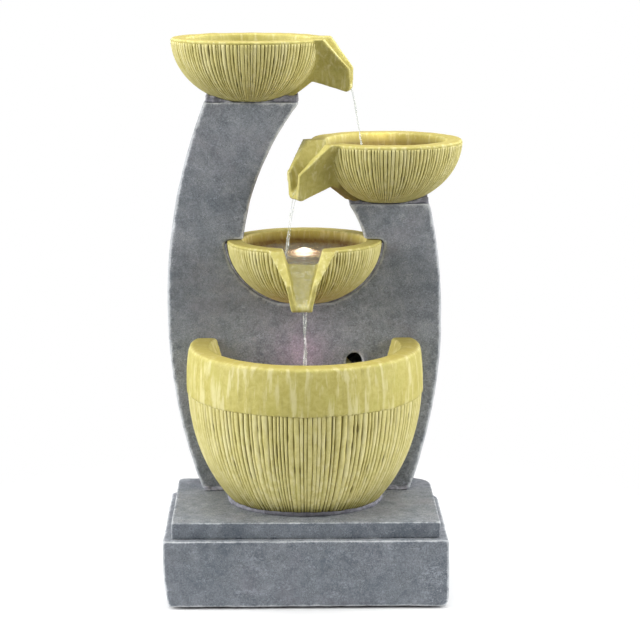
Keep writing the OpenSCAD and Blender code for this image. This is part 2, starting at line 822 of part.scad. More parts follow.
module shaft_bushes() {
  color("black") for (y = [chamber_front_y, chamber_y + well_l])
    on_pump_axis(y) difference() {
      cylinder(h = bush_l - 0.5, r = bush_r);
      translate([0, 0, -1]) cylinder(h = bush_l + 1, r = shaft_r + run_gap);
    }
}

module pump_strainer() {
  slots = 7;
  slot_w = 2.2;
  w = pump_w / 2;
  h = pump_h / 2;
  back_y = pump_front_y - strainer_gap / 2;
  pitch = pump_w / (slots + 1);
  color("black") difference() {
    slab(pump_x - w, pump_x + w, strainer_front_y, back_y, axis_z - h, axis_z + h);
    slab(pump_x - w + strainer_t, pump_x + w - strainer_t, strainer_front_y + strainer_t,
      back_y + 1, axis_z - h + strainer_t, axis_z + h - strainer_t);
    slab(pump_x - stub_r - strainer_gap, pump_x + stub_r + strainer_gap,
      chamber_front_y - strainer_gap, back_y + 1, axis_z, axis_z + h + 1);
    for (i = [1:slots], row = [-1, 1])
      slab(pump_x - w + i * pitch - slot_w / 2, pump_x - w + i * pitch + slot_w / 2,
        strainer_front_y - 1, strainer_front_y + strainer_t + 1,
        axis_z + row * 12 - 4, axis_z + row * 12 + 4);
    on_pump_axis(strainer_front_y - 1) cylinder(h = strainer_t + 2, r = 2);
  }
}

module flow_dial() {
  port_r = 1.5;
  color("gray") {
    difference() {
      on_pump_axis(strainer_front_y - dial_t - 0.3) cylinder(h = dial_t, r = dial_r);
      for (a = [40:25:140]) on_pump_axis(strainer_front_y - dial_t - 1) rotate([0, 0, a])
        translate([dial_r - 3.5, 0, 0]) cylinder(h = dial_t + 2, r = port_r);
    }
    on_pump_axis(strainer_front_y - dial_t - 0.3)
      cylinder(h = dial_t + strainer_t + 1, r = 2 - run_gap);
    slab(pump_x - 0.8, pump_x + 0.8, strainer_front_y - dial_t - 2.5,
      strainer_front_y - dial_t, axis_z - dial_r + 1, axis_z + dial_r - 1);
  }
}

module at_suction_feet() {
  inset = 8;
  for (x = [-1, 1], y = [pump_front_y + inset, pump_back_y - inset])
    translate([pump_x + x * (pump_w / 2 - inset), y, pump_z0]) children();
}

module suction_feet() {
  color("black") at_suction_feet() {
    translate([0, 0, -cup_h]) cylinder(h = cup_h - 3, r1 = 7, r2 = 3);
    translate([0, 0, -3 - eps]) cylinder(h = 3 + eps, r = 3);
    cylinder(h = 2 - fit_gap, r = 2 - fit_gap);
  }
}

hose_start = [pump_x, stub_y, stub_top];
nozzle_low = left_top - nozzle_tail;
core_y = (panel_front_y + panel_wall + skin_y) / 2;
left_channel_x = -(middle_bowl_r + grout_t + panel_left) / 2;
right_channel_x = (middle_bowl_r + grout_t + panel_right) / 2;
function horn_x(z) = (left_edge(z) + gap_left_edge(z)) / 2;
hose_bend = (left_top - middle_rim_z) * 0.3;
hose_rise = (left_top - middle_rim_z) * 0.58;
hose_route = [
  hose_start, hose_start + [0, 0, 6], hose_start + [0, 0, 12],
  [pump_x + 6, stub_y + 3, pass_z - 26],
  [pass_x - 14, panel_front_y - 32, pass_z - 9], [pass_x - 3, panel_front_y - 17, pass_z],
  [pass_x, panel_front_y, pass_z],
  [pass_x - 3, core_y - 6, pass_z + 3],
  [pass_x - 24, core_y, pass_z + 22], [-5, core_y, middle_rim_z - bowl_h - 26],
  [-50, core_y, middle_rim_z - bowl_h - 12],
  [left_channel_x + 15, core_y, middle_rim_z - 42],
  [left_channel_x, core_y, middle_rim_z - 2],
  [horn_x(middle_rim_z + hose_bend) - 6, core_y, middle_rim_z + hose_bend],
  [horn_x(middle_rim_z + hose_rise), core_y, middle_rim_z + hose_rise],
  [top_x - 5, bowl_y, nozzle_low - 28], [top_x, bowl_y, nozzle_low - 14],
  [top_x, bowl_y, nozzle_low - 7], [top_x, bowl_y, nozzle_low]
];

module delivery_hose() {
  color("khaki") tube(hose_route, hose_r, 4, [1, 0, 0], 10);
}

module hose_clips() {
  clip_t = 1.2;
  clip_h = 6;
  ear = 4;
  color("silver") for (spot = [[pump_x, stub_y, stub_top + 3], [top_x, bowl_y, nozzle_low - 3 - clip_h]])
    translate(spot) difference() {
      union() {
        cylinder(h = clip_h, r = hose_r + 1 + clip_t);
        translate([hose_r, -ear / 2, 0]) cube([ear + 2, ear, clip_h]);
      }
      translate([0, 0, -1]) cylinder(h = clip_h + 2, r = hose_r + 1);
      translate([0, -0.5, -1]) cube([hose_r + ear + 4, 1, clip_h + 2]);
    }
}

module top_nozzle() {
  color("black") difference() {
    union() {
      translate([top_x, bowl_y, nozzle_low])
        cylinder(h = top_floor_z + seal_t + nozzle_up - nozzle_low, r = floor_hole_r - fit_gap);
      translate([top_x, bowl_y, top_floor_z + seal_t]) cylinder(h = nozzle_flange_t, r = nozzle_flange_r);
    }
    translate([top_x, bowl_y, nozzle_low - 1])
      cylinder(h = top_floor_z + nozzle_up + 20 - nozzle_low, r = nozzle_bore_r);
  }
}

module nozzle_seal() {
  color("black") translate([top_x, bowl_y, top_floor_z]) difference() {
    cylinder(h = seal_t, r = nozzle_flange_r - 1);
    translate([0, 0, -1]) cylinder(h = seal_t + 2, r = floor_hole_r - fit_gap / 2);
  }
}

module nozzle_nut() {
  color("black") translate([top_x, bowl_y, left_top - panel_wall - nut_t]) difference() {
    cylinder(h = nut_t, r = nut_r, $fn = 6);
    translate([0, 0, -1]) cylinder(h = nut_t + 2, r = floor_hole_r - fit_gap / 2);
  }
}

module light_housing() {
  color("white") {
    difference() {
      cylinder(h = light_h, r = light_r);
      translate([0, 0, light_h - lens_lip]) cylinder(h = lens_lip + 1, r = light_r - 1.5);
    }
    translate([0, 0, -grommet_t]) cylinder(h = grommet_t + eps, r = floor_hole_r - 2.5);
  }
}

module light_lens() {
  r = light_r - 1.5 - fit_gap;
  color("lightyellow") rotate_extrude()
    polygon(concat([[0, light_h - lens_lip], [r, light_h - lens_lip]],
      [for (p = ellipse(r, lens_h, 0, 90, 8)) [p[0], p[1] + light_h]]));
}

module light_grommet(depth) {
  bore_r = floor_hole_r - 2.5 + fit_gap / 2;
  color("black") difference() {
    union() {
      translate([0, 0, -depth]) cylinder(h = depth, r = floor_hole_r - fit_gap / 2);
      cylinder(h = grommet_t, r = floor_hole_r + grommet_lip);
    }
    translate([0, 0, -depth + 3]) cylinder(h = depth + grommet_t, r = bore_r);
    translate([0, 0, -depth - 1]) cylinder(h = depth, r = lead_r + fit_gap);
  }
}

grommet_depth = 10;
second_light_at = [second_x + light_shift, bowl_y, second_rim_z - inner_h];
middle_light_at = [0, middle_light_y, middle_rim_z - inner_h];

module second_bowl_light() {
  translate(second_light_at + [0, 0, grommet_t]) light_housing();
}

module second_light_lens() {
  translate(second_light_at + [0, 0, grommet_t]) light_lens();
}

module second_light_grommet() {
  translate(second_light_at) light_grommet(grommet_depth);
}

module middle_bowl_light() {
  translate(middle_light_at + [0, 0, grommet_t]) light_housing();
}

module middle_light_lens() {
  translate(middle_light_at + [0, 0, grommet_t]) light_lens();
}

module middle_light_grommet() {
  translate(middle_light_at) light_grommet(grommet_depth);
}

module basin_light() {
  flange_r = basin_light_r + 3;
  color("black") translate([0, panel_front_y, basin_light_z]) rotate([90, 0, 0]) {
    difference() {
      cylinder(h = 3, r = flange_r);
      translate([0, 0, 1]) cylinder(h = 3, r = basin_light_r - 1);
    }
    translate([0, 0, -panel_wall - 8]) cylinder(h = panel_wall + 8 + eps, r = basin_light_r);
  }
}

module basin_light_lens() {
  r = basin_light_r - 1 - fit_gap;
  color("plum") translate([0, panel_front_y, basin_light_z]) rotate([90, 0, 0])
    rotate_extrude() polygon(concat([[0, 1], [r, 1]],
      [for (p = ellipse(r, 3, 0, 90, 8)) [p[0], p[1] + 2.5]]));
}

module basin_light_nut() {
  color("black") translate([0, panel_front_y + panel_wall, basin_light_z]) rotate([-90, 0, 0])
    difference() {
      cylinder(h = 4, r = basin_light_r + 4, $fn = 6);
      translate([0, 0, -1]) cylinder(h = 6, r = basin_light_r + fit_gap / 4);
    }
}

// Leads, from each light, the pump and the jack to the junction box
box_front_y = panel_front_y + panel_wall;
box_back_y = box_front_y + box_d;
box_top = box_z + box_h / 2;

module junction_box() {
  color("dimgray") difference() {
    slab(box_x - box_w / 2, box_x + box_w / 2, box_front_y, box_back_y,
      box_z - box_h / 2, box_top);
    for (x = [-15, -5, 5, 15]) translate([box_x + x, (box_front_y + box_back_y) / 2, box_top - 4])
      cylinder(h = 5, r = lead_r + 2 * fit_gap);
    translate([box_x - box_w / 2 - 1, (box_front_y + box_back_y) / 2, box_z]) rotate([0, 90, 0])
      cylinder(h = 5, r = lead_r + 2 * fit_gap);
  }
}

lead_y = skin_y - 6;
jack_tail_y = panel_rear_y - jack_l;
box_mid_y = (box_front_y + box_back_y) / 2;
port_z = box_top - 4;

second_lead_route = [
  second_light_at, second_light_at + [0, 0, -8], second_light_at + [0, 0, -16],
  [right_channel_x - 12, bowl_y, second_light_at[2] - 34],
  [right_channel_x - 4, lead_y, middle_rim_z - 15], [right_channel_x, lead_y, middle_rim_z - 55],
  [92, lead_y, upper_z + 40], [70, lead_y, upper_z + 14], [40, lead_y, upper_z - 12],
  [8, lead_y, upper_z - 20],
  [box_x + 16, box_mid_y + 3, box_top + 24], [box_x + 15, box_mid_y, box_top + 9],
  [box_x + 15, box_mid_y, box_top + 2], [box_x + 15, box_mid_y, port_z]
];
middle_lead_route = [
  middle_light_at, middle_light_at + [0, 0, -10], middle_light_at + [0, 0, -18],
  [-1, middle_light_y + 8, middle_light_at[2] - 26],
  [-4, lead_y, middle_light_at[2] - 36], [-18, lead_y, upper_z - 4],
  [box_x - 5, box_mid_y + 6, box_top + 24], [box_x - 5, box_mid_y, box_top + 10],
  [box_x - 5, box_mid_y, box_top + 3], [box_x - 5, box_mid_y, port_z]
];
basin_lead_route = [
  [0, panel_front_y + panel_wall + 8, basin_light_z],
  [0, panel_front_y + panel_wall + 11, basin_light_z],
  [0, panel_front_y + panel_wall + 14, basin_light_z],
  [-8, box_mid_y + 5, basin_light_z - 8], [box_x + 5, box_mid_y + 1, box_top + 16],
  [box_x + 5, box_mid_y, box_top + 9], [box_x + 5, box_mid_y, box_top + 3],
  [box_x + 5, box_mid_y, port_z]
];
pump_lead_top = [pump_x + 12, pump_back_y - 8, pump_z0 + pump_h];
pump_lead_route = [
  pump_lead_top, pump_lead_top + [0, 0, 4], pump_lead_top + [0, 0, 8],
  [pump_x + 30, panel_front_y - 14, pump_z0 + pump_h + 34],
  [pass_x + 12, panel_front_y - 13, pass_z - 6], [pass_x + 5, panel_front_y - 8, pass_lead_z - 2],
  [pass_x + 1, panel_front_y + 2, pass_lead_z], [pass_x + 2, box_front_y + 3, pass_lead_z],
  [pass_x + 9, box_front_y + 7, pass_z], [pass_x + 2, panel_front_y + 12, pass_z - 20],
  [pass_x - 20, panel_front_y + 11, box_top + 16], [4, panel_front_y + 11, box_top + 21],
  [box_x - 6, panel_front_y + 11, box_top + 20], [box_x - 15, box_mid_y, box_top + 9],
  [box_x - 15, box_mid_y, box_top + 3], [box_x - 15, box_mid_y, port_z]
];
power_lead_route = [
  [box_x - box_w / 2 + 4, box_mid_y, box_z], [box_x - box_w / 2 - 1, box_mid_y, box_z],
  [box_x - box_w / 2 - 6, box_mid_y, box_z], [jack_x - 1, box_mid_y, jack_z + 22],
  [jack_x, jack_tail_y - 8, jack_z + 5], [jack_x, jack_tail_y - 5, jack_z],
  [jack_x, jack_tail_y - 2.5, jack_z], [jack_x, jack_tail_y, jack_z]
];

module second_light_lead() { color("black") tube(second_lead_route, lead_r, 4, [0, 1, 0]); }
module middle_light_lead() { color("black") tube(middle_lead_route, lead_r, 4, [1, 0, 0]); }
module basin_light_lead() { color("black") tube(basin_lead_route, lead_r, 4, [1, 0, 0]); }
module pump_lead() { color("black") tube(pump_lead_route, lead_r, 4, [1, 0, 0]); }
module power_lead() { color("black") tube(power_lead_route, lead_r, 4, [0, 0, 1]); }

module power_jack() {
  color("black") translate([jack_x, 0, jack_z]) rotate([-90, 0, 0]) difference() {
    union() {
      translate([0, 0, panel_rear_y - jack_l]) cylinder(h = jack_l, r = jack_r);
      translate([0, 0, panel_rear_y]) cylinder(h = jack_flange_t, r = jack_flange_r);
    }
    translate([0, 0, panel_rear_y + jack_flange_t - jack_bore_l])
      cylinder(h = jack_bore_l + 1, r = jack_bore_r);
  }
}

module jack_nut() {
  color("silver") translate([jack_x, skin_y - 3, jack_z]) rotate([-90, 0, 0]) difference() {
    cylinder(h = 3, r = jack_r + 3, $fn = 6);
    translate([0, 0, -1]) cylinder(h = 5, r = jack_r + fit_gap / 4);
  }
}

plinth_block();
plinth_step();
base_plate();
base_pad();
base_screws();
back_panel();
panel_rear();
panel_bolts();
panel_inserts();
panel_foot_beads();
access_hatch();
top_bowl();
second_bowl();
middle_bowl();
basin();
top_bowl_bed();
second_bowl_bed();
middle_bowl_grout();
basin_collar();
pump_body();
pump_chamber();
impeller();
impeller_shaft();
shaft_bushes();
pump_strainer();
flow_dial();
suction_feet();
delivery_hose();
hose_clips();
top_nozzle();
nozzle_seal();
nozzle_nut();
second_bowl_light();
second_light_lens();
second_light_grommet();
middle_bowl_light();
middle_light_lens();
middle_light_grommet();
basin_light();
basin_light_lens();
basin_light_nut();
second_light_lead();
middle_light_lead();
basin_light_lead();
pump_lead();
power_lead();
junction_box();
power_jack();
jack_nut();
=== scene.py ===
import json
import math
import re
import bmesh
import bpy
import numpy as np
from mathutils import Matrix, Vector


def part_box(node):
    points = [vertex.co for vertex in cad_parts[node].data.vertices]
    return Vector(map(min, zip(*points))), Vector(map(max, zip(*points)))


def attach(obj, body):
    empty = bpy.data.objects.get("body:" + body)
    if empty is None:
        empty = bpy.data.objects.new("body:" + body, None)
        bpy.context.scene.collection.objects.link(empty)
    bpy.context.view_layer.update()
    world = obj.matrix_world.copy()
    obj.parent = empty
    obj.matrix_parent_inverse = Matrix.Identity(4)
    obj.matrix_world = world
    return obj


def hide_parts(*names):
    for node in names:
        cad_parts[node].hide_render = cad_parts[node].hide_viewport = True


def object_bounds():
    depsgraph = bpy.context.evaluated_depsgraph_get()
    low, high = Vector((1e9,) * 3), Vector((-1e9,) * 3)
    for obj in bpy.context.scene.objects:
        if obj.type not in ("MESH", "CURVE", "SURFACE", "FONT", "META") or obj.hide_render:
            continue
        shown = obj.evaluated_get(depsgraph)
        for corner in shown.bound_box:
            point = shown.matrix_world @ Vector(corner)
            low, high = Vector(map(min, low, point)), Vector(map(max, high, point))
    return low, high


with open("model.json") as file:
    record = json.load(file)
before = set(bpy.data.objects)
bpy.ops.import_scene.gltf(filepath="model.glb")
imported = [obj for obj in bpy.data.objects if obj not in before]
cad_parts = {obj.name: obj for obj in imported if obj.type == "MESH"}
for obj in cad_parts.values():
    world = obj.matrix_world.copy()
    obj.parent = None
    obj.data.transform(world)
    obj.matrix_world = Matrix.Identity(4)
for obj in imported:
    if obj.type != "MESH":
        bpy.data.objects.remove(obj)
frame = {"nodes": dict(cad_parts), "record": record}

cadLow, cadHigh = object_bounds()
mm = 0.001

# the camera stands where the product was seen from
cameraSettings = {"place": (-0.0193, -1.9176, 0.6437), "down": 11.28, "turn": 1.01, "lens": 114.8}


def setCamera():
    s = cameraSettings
    camera = bpy.data.cameras.new("studioCamera")
    camera.lens = s["lens"]
    camera.sensor_width = 36
    camera.clip_end = 50
    holder = bpy.data.objects.new("studioCamera", camera)
    bpy.context.scene.collection.objects.link(holder)
    holder.location = s["place"]
    holder.rotation_euler = (math.radians(90 - s["down"]), 0, math.radians(-s["turn"]))
    bpy.context.scene.camera = holder


setCamera()
bpy.context.scene.view_settings.view_transform = "Standard"
print("camera set")


class Wire:
    # a shader socket that can be used in ordinary sums
    def __init__(self, paint, socket):
        self.paint = paint
        self.socket = socket

    def sum(self, operation, *values):
        inputs = dict(enumerate(values))
        return self.paint.node("ShaderNodeMath", {"operation": operation}, inputs)

    def __add__(self, other):
        return self.sum("ADD", self, other)

    def __radd__(self, other):
        return self.sum("ADD", other, self)

    def __sub__(self, other):
        return self.sum("SUBTRACT", self, other)

    def __rsub__(self, other):
        return self.sum("SUBTRACT", other, self)

    def __mul__(self, other):
        return self.sum("MULTIPLY", self, other)

    def __rmul__(self, other):
        return self.sum("MULTIPLY", other, self)

    def __abs__(self):
        return self.sum("ABSOLUTE", self)


class Paint:
    # a material with one Principled shader, and one method for every other node
    def __init__(self, name, **sockets):
        self.material = bpy.data.materials.new(name)
        self.material.use_nodes = True
        self.tree = self.material.node_tree
        self.tree.nodes.clear()
        self.output = self.tree.nodes.new("ShaderNodeOutputMaterial")
        self.shader = self.tree.nodes.new("ShaderNodeBsdfPrincipled")
        self.tree.links.new(self.shader.outputs[0], self.output.inputs["Surface"])
        self.set(**sockets)

    def plug(self, socket, value):
        if isinstance(value, Wire):
            self.tree.links.new(value.socket, socket)
        elif isinstance(value, (tuple, list)) and len(value) == 3 and socket.type == "RGBA":
            socket.default_value = (*value, 1)
        else:
            socket.default_value = value

    def set(self, **sockets):
        for name, value in sockets.items():
            self.plug(self.shader.inputs[spaced(name)], value)

    def node(self, kind, settings=None, inputs=None, output=0):
        made = self.tree.nodes.new(kind)
        for name, value in (settings or {}).items():
            setattr(made, name, value)
        for name, value in (inputs or {}).items():
            self.plug(made.inputs[name], value)
        return Wire(self, made.outputs[output])


def spaced(name):
    # baseColor is the socket called Base Color
    words = re.findall("IOR|[A-Z]?[a-z]+", name)
    return " ".join(w[0].upper() + w[1:] for w in words)


def tone(red, green, blue):
    # a colour as it looks on a screen, as the shader needs it
    def linear(c):
        c /= 255
        return c / 12.92 if c <= 0.04045 else ((c + 0.055) / 1.055) ** 2.4
    return (linear(red), linear(green), linear(blue))


def place(paint, stretch=(1, 1, 1)):
    # position in the object's own frame, in metres, stretched for streaks
    here = paint.node("ShaderNodeTexCoord", output="Object")
    if stretch == (1, 1, 1):
        return here
    return paint.node("ShaderNodeMapping", inputs={"Vector": here, "Scale": stretch})


def cloud(paint, size, detail=4, rough=0.55, stretch=(1, 1, 1), warp=0):
    # noise with patches about size metres across
    inputs = {"Vector": place(paint, stretch), "Scale": 1 / size, "Detail": detail,
              "Roughness": rough, "Distortion": warp}
    return paint.node("ShaderNodeTexNoise", inputs=inputs)


def window(paint, value, low, high):
    # 0 below low, 1 above high, smooth between
    settings = {"interpolation_type": "SMOOTHSTEP", "clamp": True}
    inputs = {"Value": value, "From Min": low, "From Max": high, "To Min": 0, "To Max": 1}
    return paint.node("ShaderNodeMapRange", settings, inputs)


def blend(paint, first, second, share, kind="MIX"):
    settings = {"data_type": "RGBA", "blend_type": kind}
    return paint.node("ShaderNodeMix", settings, {0: share, 6: first, 7: second}, output=2)


def field(paint, name):
    # a value stored at each point of the mesh
    return paint.node("ShaderNodeAttribute", {"attribute_name": name}, output="Fac")


def relief(paint, height, depth):
    # depth in metres for a height of 1
    return paint.node("ShaderNodeBump", inputs={"Height": height, "Distance": depth, "Strength": 1})


def pointsOf(mesh):
    flat = np.empty(len(mesh.vertices) * 3)
    mesh.vertices.foreach_get("co", flat)
    return flat.reshape(-1, 3)


def normalsOf(mesh):
    flat = np.empty(len(mesh.vertices) * 3)
    mesh.vertices.foreach_get("normal", flat)
    return flat.reshape(-1, 3)


def edgesOf(mesh):
    flat = np.empty(len(mesh.edges) * 2, dtype=np.int64)
    mesh.edges.foreach_get("vertices", flat)
    return flat.reshape(-1, 2)


def facesOf(mesh):
    return [tuple(f.vertices) for f in mesh.polygons]


def setPoints(mesh, points):
    mesh.vertices.foreach_set("co", points.astype(np.float32).ravel())
    mesh.update()


def setField(mesh, name, values):
    layer = mesh.attributes.new(name, "FLOAT", "POINT")
    layer.data.foreach_set("value", np.asarray(values, dtype=np.float32))


def relaxed(points, edges, rounds, share=0.5):
    # each point moves towards the mean of its neighbours
    total = len(points)
    start, end = edges.T
    near = np.bincount(edges.ravel(), minlength=total)[:, None]
    for _ in range(rounds):
        pull = np.stack([np.bincount(start, points[end, k], total)
                         + np.bincount(end, points[start, k], total) for k in range(3)], axis=1)
        points = points + share * (pull / near - points)
    return points


def grain(points, size, seed=0, octaves=1):
    # smooth random field from -1 to 1, with lumps about size across
    total, weight = np.zeros(len(points)), 0
    for octave in range(octaves):
        at = points * 2 ** octave / size + 31.7 * (seed + 1) + 5.3 * octave
        cell = np.floor(at).astype(np.int64)
        part = at - cell
        part = part * part * (3 - 2 * part)
        value = np.zeros(len(points))
        for corner in np.ndindex(2, 2, 2):
            key = (cell + corner) @ np.array([73856093, 19349663, 83492791]) + seed * 2654435
            key = (key ^ (key >> 13)) * 1274126177 & 0x7fffffff
            key = (key ^ (key >> 15)) * 668265263 & 0x7fffffff
            share = np.prod(np.where(corner, part, 1 - part), axis=1)
            value += share * (key / 0x3fffffff - 1)
        total += value / 2 ** octave
        weight += 1 / 2 ** octave
    return total / weight * 1.6


def addPiece(name, mesh, body, *nodes, paint=None, slot=None):
    piece = bpy.data.objects.new(name, mesh)
    bpy.context.scene.collection.objects.link(piece)
    if paint:
        mesh.materials.clear()
        mesh.materials.append(paint.material)
    mesh.polygons.foreach_set("use_smooth", [True] * len(mesh.polygons))
    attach(piece, body)
    if nodes:
        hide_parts(*nodes)
    return piece


def welded(source):
    mesh = source.data.copy()
    work = bmesh.new()
    work.from_mesh(mesh)
    bmesh.ops.remove_doubles(work, verts=work.verts, dist=2e-6)
    work.to_mesh(mesh)
    work.free()
    if "custom_normal" in mesh.attributes:
        mesh.attributes.remove(mesh.attributes["custom_normal"])
    return mesh


def modified(mesh, kind, **settings):
    # the mesh after one modifier
    holder = bpy.data.objects.new("holder", mesh)
    bpy.context.scene.collection.objects.link(holder)
    modifier = holder.modifiers.new(kind, kind)
    for name, value in settings.items():
        setattr(modifier, name, value)
    graph = bpy.context.evaluated_depsgraph_get()
    result = bpy.data.meshes.new_from_object(holder.evaluated_get(graph))
    bpy.data.objects.remove(holder)
    return result


def skinned(source, voxel):
    # one even skin over a CAD solid, whose edges can then be worn
    return modified(welded(source), "REMESH", mode="VOXEL", voxel_size=voxel, adaptivity=0)


def softSkin(node, voxel):
    # that skin with its edges softened, its edges and its points
    mesh = skinned(frame["nodes"][node], voxel * mm)
    edges = edgesOf(mesh)
    points = relaxed(pointsOf(mesh), edges, 2)
    setPoints(mesh, points)
    return mesh, edges, points


def curl(points, edges, normals, rounds):
    # above 0 on outer edges, below 0 in corners, about 1 for a full edge
    low = relaxed(points, edges, rounds)
    return np.einsum("ij,ij->i", points - low, normals) / mm


def slatePaint(name, shade=0.0):
    # shade is the share of painted shade that darkens the upright faces against the faces that point up
    paint = Paint(name, roughness=0.82, specularIORLevel=0.35)
    wide = cloud(paint, 0.055, 5, 0.6, warp=0.6)
    patch = cloud(paint, 0.012, 6, 0.65, warp=0.4)
    fine = cloud(paint, 0.0016, 3, 0.6)
    scratch = cloud(paint, 0.0026, 5, 0.66, warp=2.6)
    hairs = cloud(paint, 0.0011, 4, 0.7, stretch=(1, 1, 0.4), warp=1.4)
    where = cloud(paint, 0.018, 4, 0.65)
    speck = cloud(paint, 0.0015, 5, 0.8)
    mixed = speck * 0.65 + patch * 0.35
    colour = blend(paint, tone(92, 97, 104), tone(146, 149, 154), window(paint, mixed, 0.36, 0.64))
    colour = blend(paint, colour, tone(92, 100, 108), window(paint, wide, 0.5, 0.68) * 0.5)
    colour = blend(paint, colour, tone(132, 128, 134), window(paint, 1 - wide, 0.5, 0.7) * 0.4)
    line = window(paint, 1 - abs(scratch * 2 - 1), 0.88, 0.985)
    marks = line * window(paint, where, 0.42, 0.66)
    colour = blend(paint, colour, tone(186, 190, 194), marks * 0.6)
    rubbed = window(paint, hairs + (where - 0.5) * 0.4, 0.56, 0.74)
    colour = blend(paint, colour, tone(190, 194, 198), rubbed * 0.55)
    fleck = window(paint, fine, 0.62, 0.8)
    colour = blend(paint, colour, tone(196, 200, 204), fleck * 0.4)
    pit = window(paint, 1 - fine, 0.6, 0.8)
    colour = blend(paint, colour, tone(86, 90, 96), pit * 0.5)
    # painted shade: faces that do not point up are darkened and cooled by the share shade
    side = 1 - window(paint, field(paint, "up"), 0.3, 0.8)
    colour = blend(paint, colour, (0.5, 0.55, 0.6), side * shade, kind="MULTIPLY")
    scumble = cloud(paint, 0.016, 7, 0.78, stretch=(1, 1, 2.2), warp=0.8)
    scuff = window(paint, scumble * 0.6 + speck * 0.4, 0.52, 0.64)
    colour = blend(paint, colour, tone(176, 182, 190), scuff * 0.4)
    wearAndShade = field(paint, "wearAndShade")
    rub = window(paint, wearAndShade + (patch - 0.5) * 0.9 + (fine - 0.5) * 0.5, 0.22, 0.62)
    colour = blend(paint, colour, tone(216, 219, 222), rub * 0.6)
    # painted shade in the inner corners, where the surface curls inwards
    corner = window(paint, 0 - wearAndShade, 0.15, 0.9)
    colour = blend(paint, colour, tone(78, 80, 86), corner * 0.6)
    height = patch * 0.5 + speck * 0.5 + marks * 0.3 + hairs * 0.4
    paint.set(baseColor=colour, roughness=0.74 + fine * 0.2, normal=relief(paint, height, 0.0007))
    return paint


slateSettings = {
    "plinthBlock": {"node": "plinth_block", "voxel": 1.8, "rough": 0.35, "chip": 0.5, "seed": 3},
    "plinthStep": {"node": "plinth_step", "voxel": 1.5, "rough": 0.25, "chip": 0.4, "seed": 7},
    "frontPanel": {"node": "back_panel", "voxel": 2.0, "rough": 0.4, "chip": 0.7, "seed": 11},
    "rearPanel": {"node": "panel_rear", "voxel": 1.6, "rough": 0.25, "chip": 0.4, "seed": 15},
}


def castStone(name, settings, paint, slot):
    s = settings
    mesh, edges, points = softSkin(s["node"], s["voxel"])
    normals = normalsOf(mesh)
    # above 0 it chips and pales the rubbed edges, below 0 it paints shade into the inner corners
    wearAndShade = curl(points, edges, normals, 6)
    uneven = grain(points, 0.03, s["seed"]) * 0.6 + grain(points, 0.009, s["seed"] + 1, 2) * 0.5
    chips = np.clip(grain(points, 0.012, s["seed"] + 2, 2) * 1.4 - 0.1, 0, 1) * np.clip(wearAndShade, 0, 1)
    points = points + normals * (uneven * s["rough"] - chips * s["chip"])[:, None] * mm
    setPoints(mesh, points)
    setField(mesh, "wearAndShade", wearAndShade)
    setField(mesh, "up", normals[:, 2])
    addPiece(name, mesh, "root", s["node"], paint=paint, slot=slot)
    print(name, len(mesh.polygons), "faces")


# copies of one slate paint with different painted shade on the upright faces: least on the panel, more on
# the plinth block, most on the step
slate = slatePaint("slatePaintedShade", 0.15)
shadedSlatePaints = {"plinthBlock": slatePaint("blockSlatePaintedShade", 0.55), "plinthStep": slatePaint("stepSlatePaintedShade", 0.75)}
for pieceName, settings in slateSettings.items():
    castStone(pieceName, settings, shadedSlatePaints.get(pieceName, slate), "grey_casting")


def olivePaint(name):
    paint = Paint(name, roughness=0.6, specularIORLevel=0.4)
    wide = cloud(paint, 0.03, 4, 0.6, warp=0.5)
    patch = cloud(paint, 0.006, 5, 0.65, warp=0.5)
    fine = cloud(paint, 0.0011, 3, 0.6)
    runs = cloud(paint, 0.0045, 4, 0.6, stretch=(1, 1, 0.12), warp=0.3)
    groove = field(paint, "groove")
    wearAndShade = field(paint, "wearAndShade")
    tint = field(paint, "tint")
    innerDarkening = field(paint, "innerDarkening")
    colour = blend(paint, tone(174, 163, 84), tone(190, 181, 106), window(paint, patch, 0.3, 0.7))
    colour = blend(paint, colour, tone(174, 168, 84), window(paint, wide, 0.5, 0.75) * 0.6)
    colour = blend(paint, colour, tone(214, 207, 156), window(paint, runs + tint * 0.12, 0.5, 0.68) * 0.6)
    colour = blend(paint, colour, tone(214, 206, 150), field(paint, "crest") * (0.1 + patch * 0.6))
    colour = blend(paint, colour, tone(120, 108, 56), window(paint, 1 - runs, 0.56, 0.76) * 0.3)
    deep = window(paint, groove + (patch - 0.5) * 0.3, 0.28, 0.85)
    colour = blend(paint, colour, tone(104, 95, 48), deep * 0.85)
    # painted shade: faces that point up are painted darker and browner
    flat = window(paint, field(paint, "up"), 0.7, 0.95)
    colour = blend(paint, colour, tone(152, 136, 58), flat * 0.65)
    rub = window(paint, wearAndShade + (patch - 0.5) * 0.7 + (fine - 0.5) * 0.4, 0.24, 0.56)
    colour = blend(paint, colour, tone(224, 217, 164), rub * 0.55)
    # painted shade in the inner corners, where the surface curls inwards
    shade = window(paint, 0 - wearAndShade, 0.2, 0.9)
    colour = blend(paint, colour, tone(120, 108, 52), shade * 0.5)
    # the inside of each bowl is painted darker and browner
    colour = blend(paint, colour, tone(88, 58, 8), innerDarkening * (0.85 + (patch - 0.5)))
    height = patch * 0.5 + fine * 0.25 + runs * 0.4
    paint.set(baseColor=colour, roughness=0.5 + patch * 0.25, normal=relief(paint, height, 0.0004))
    return paint


ribProfile = (0, 0.05, 0.11, 0.2, 0.38, 0.62, 0.8, 0.89, 0.95)
ribSettings = {"count": 136, "depth": 1.25, "lip": 3.2, "proud": 0.12, "inset": 1.6, "rows": 26}
bowlShape = {"height": 60, "deeper": 4, "bend": 29, "drop": 53,
             "rim": 16, "flat": 18, "inner": 48, "sill": 15, "voxel": 1.25}
spoutWidths = {"rim": 32, "bend": 15, "low": 9.5}
channelWidths = {"rim": 19, "bend": 10, "low": 5}
lip = 5  # from the tip's lower corner up to the channel's floor
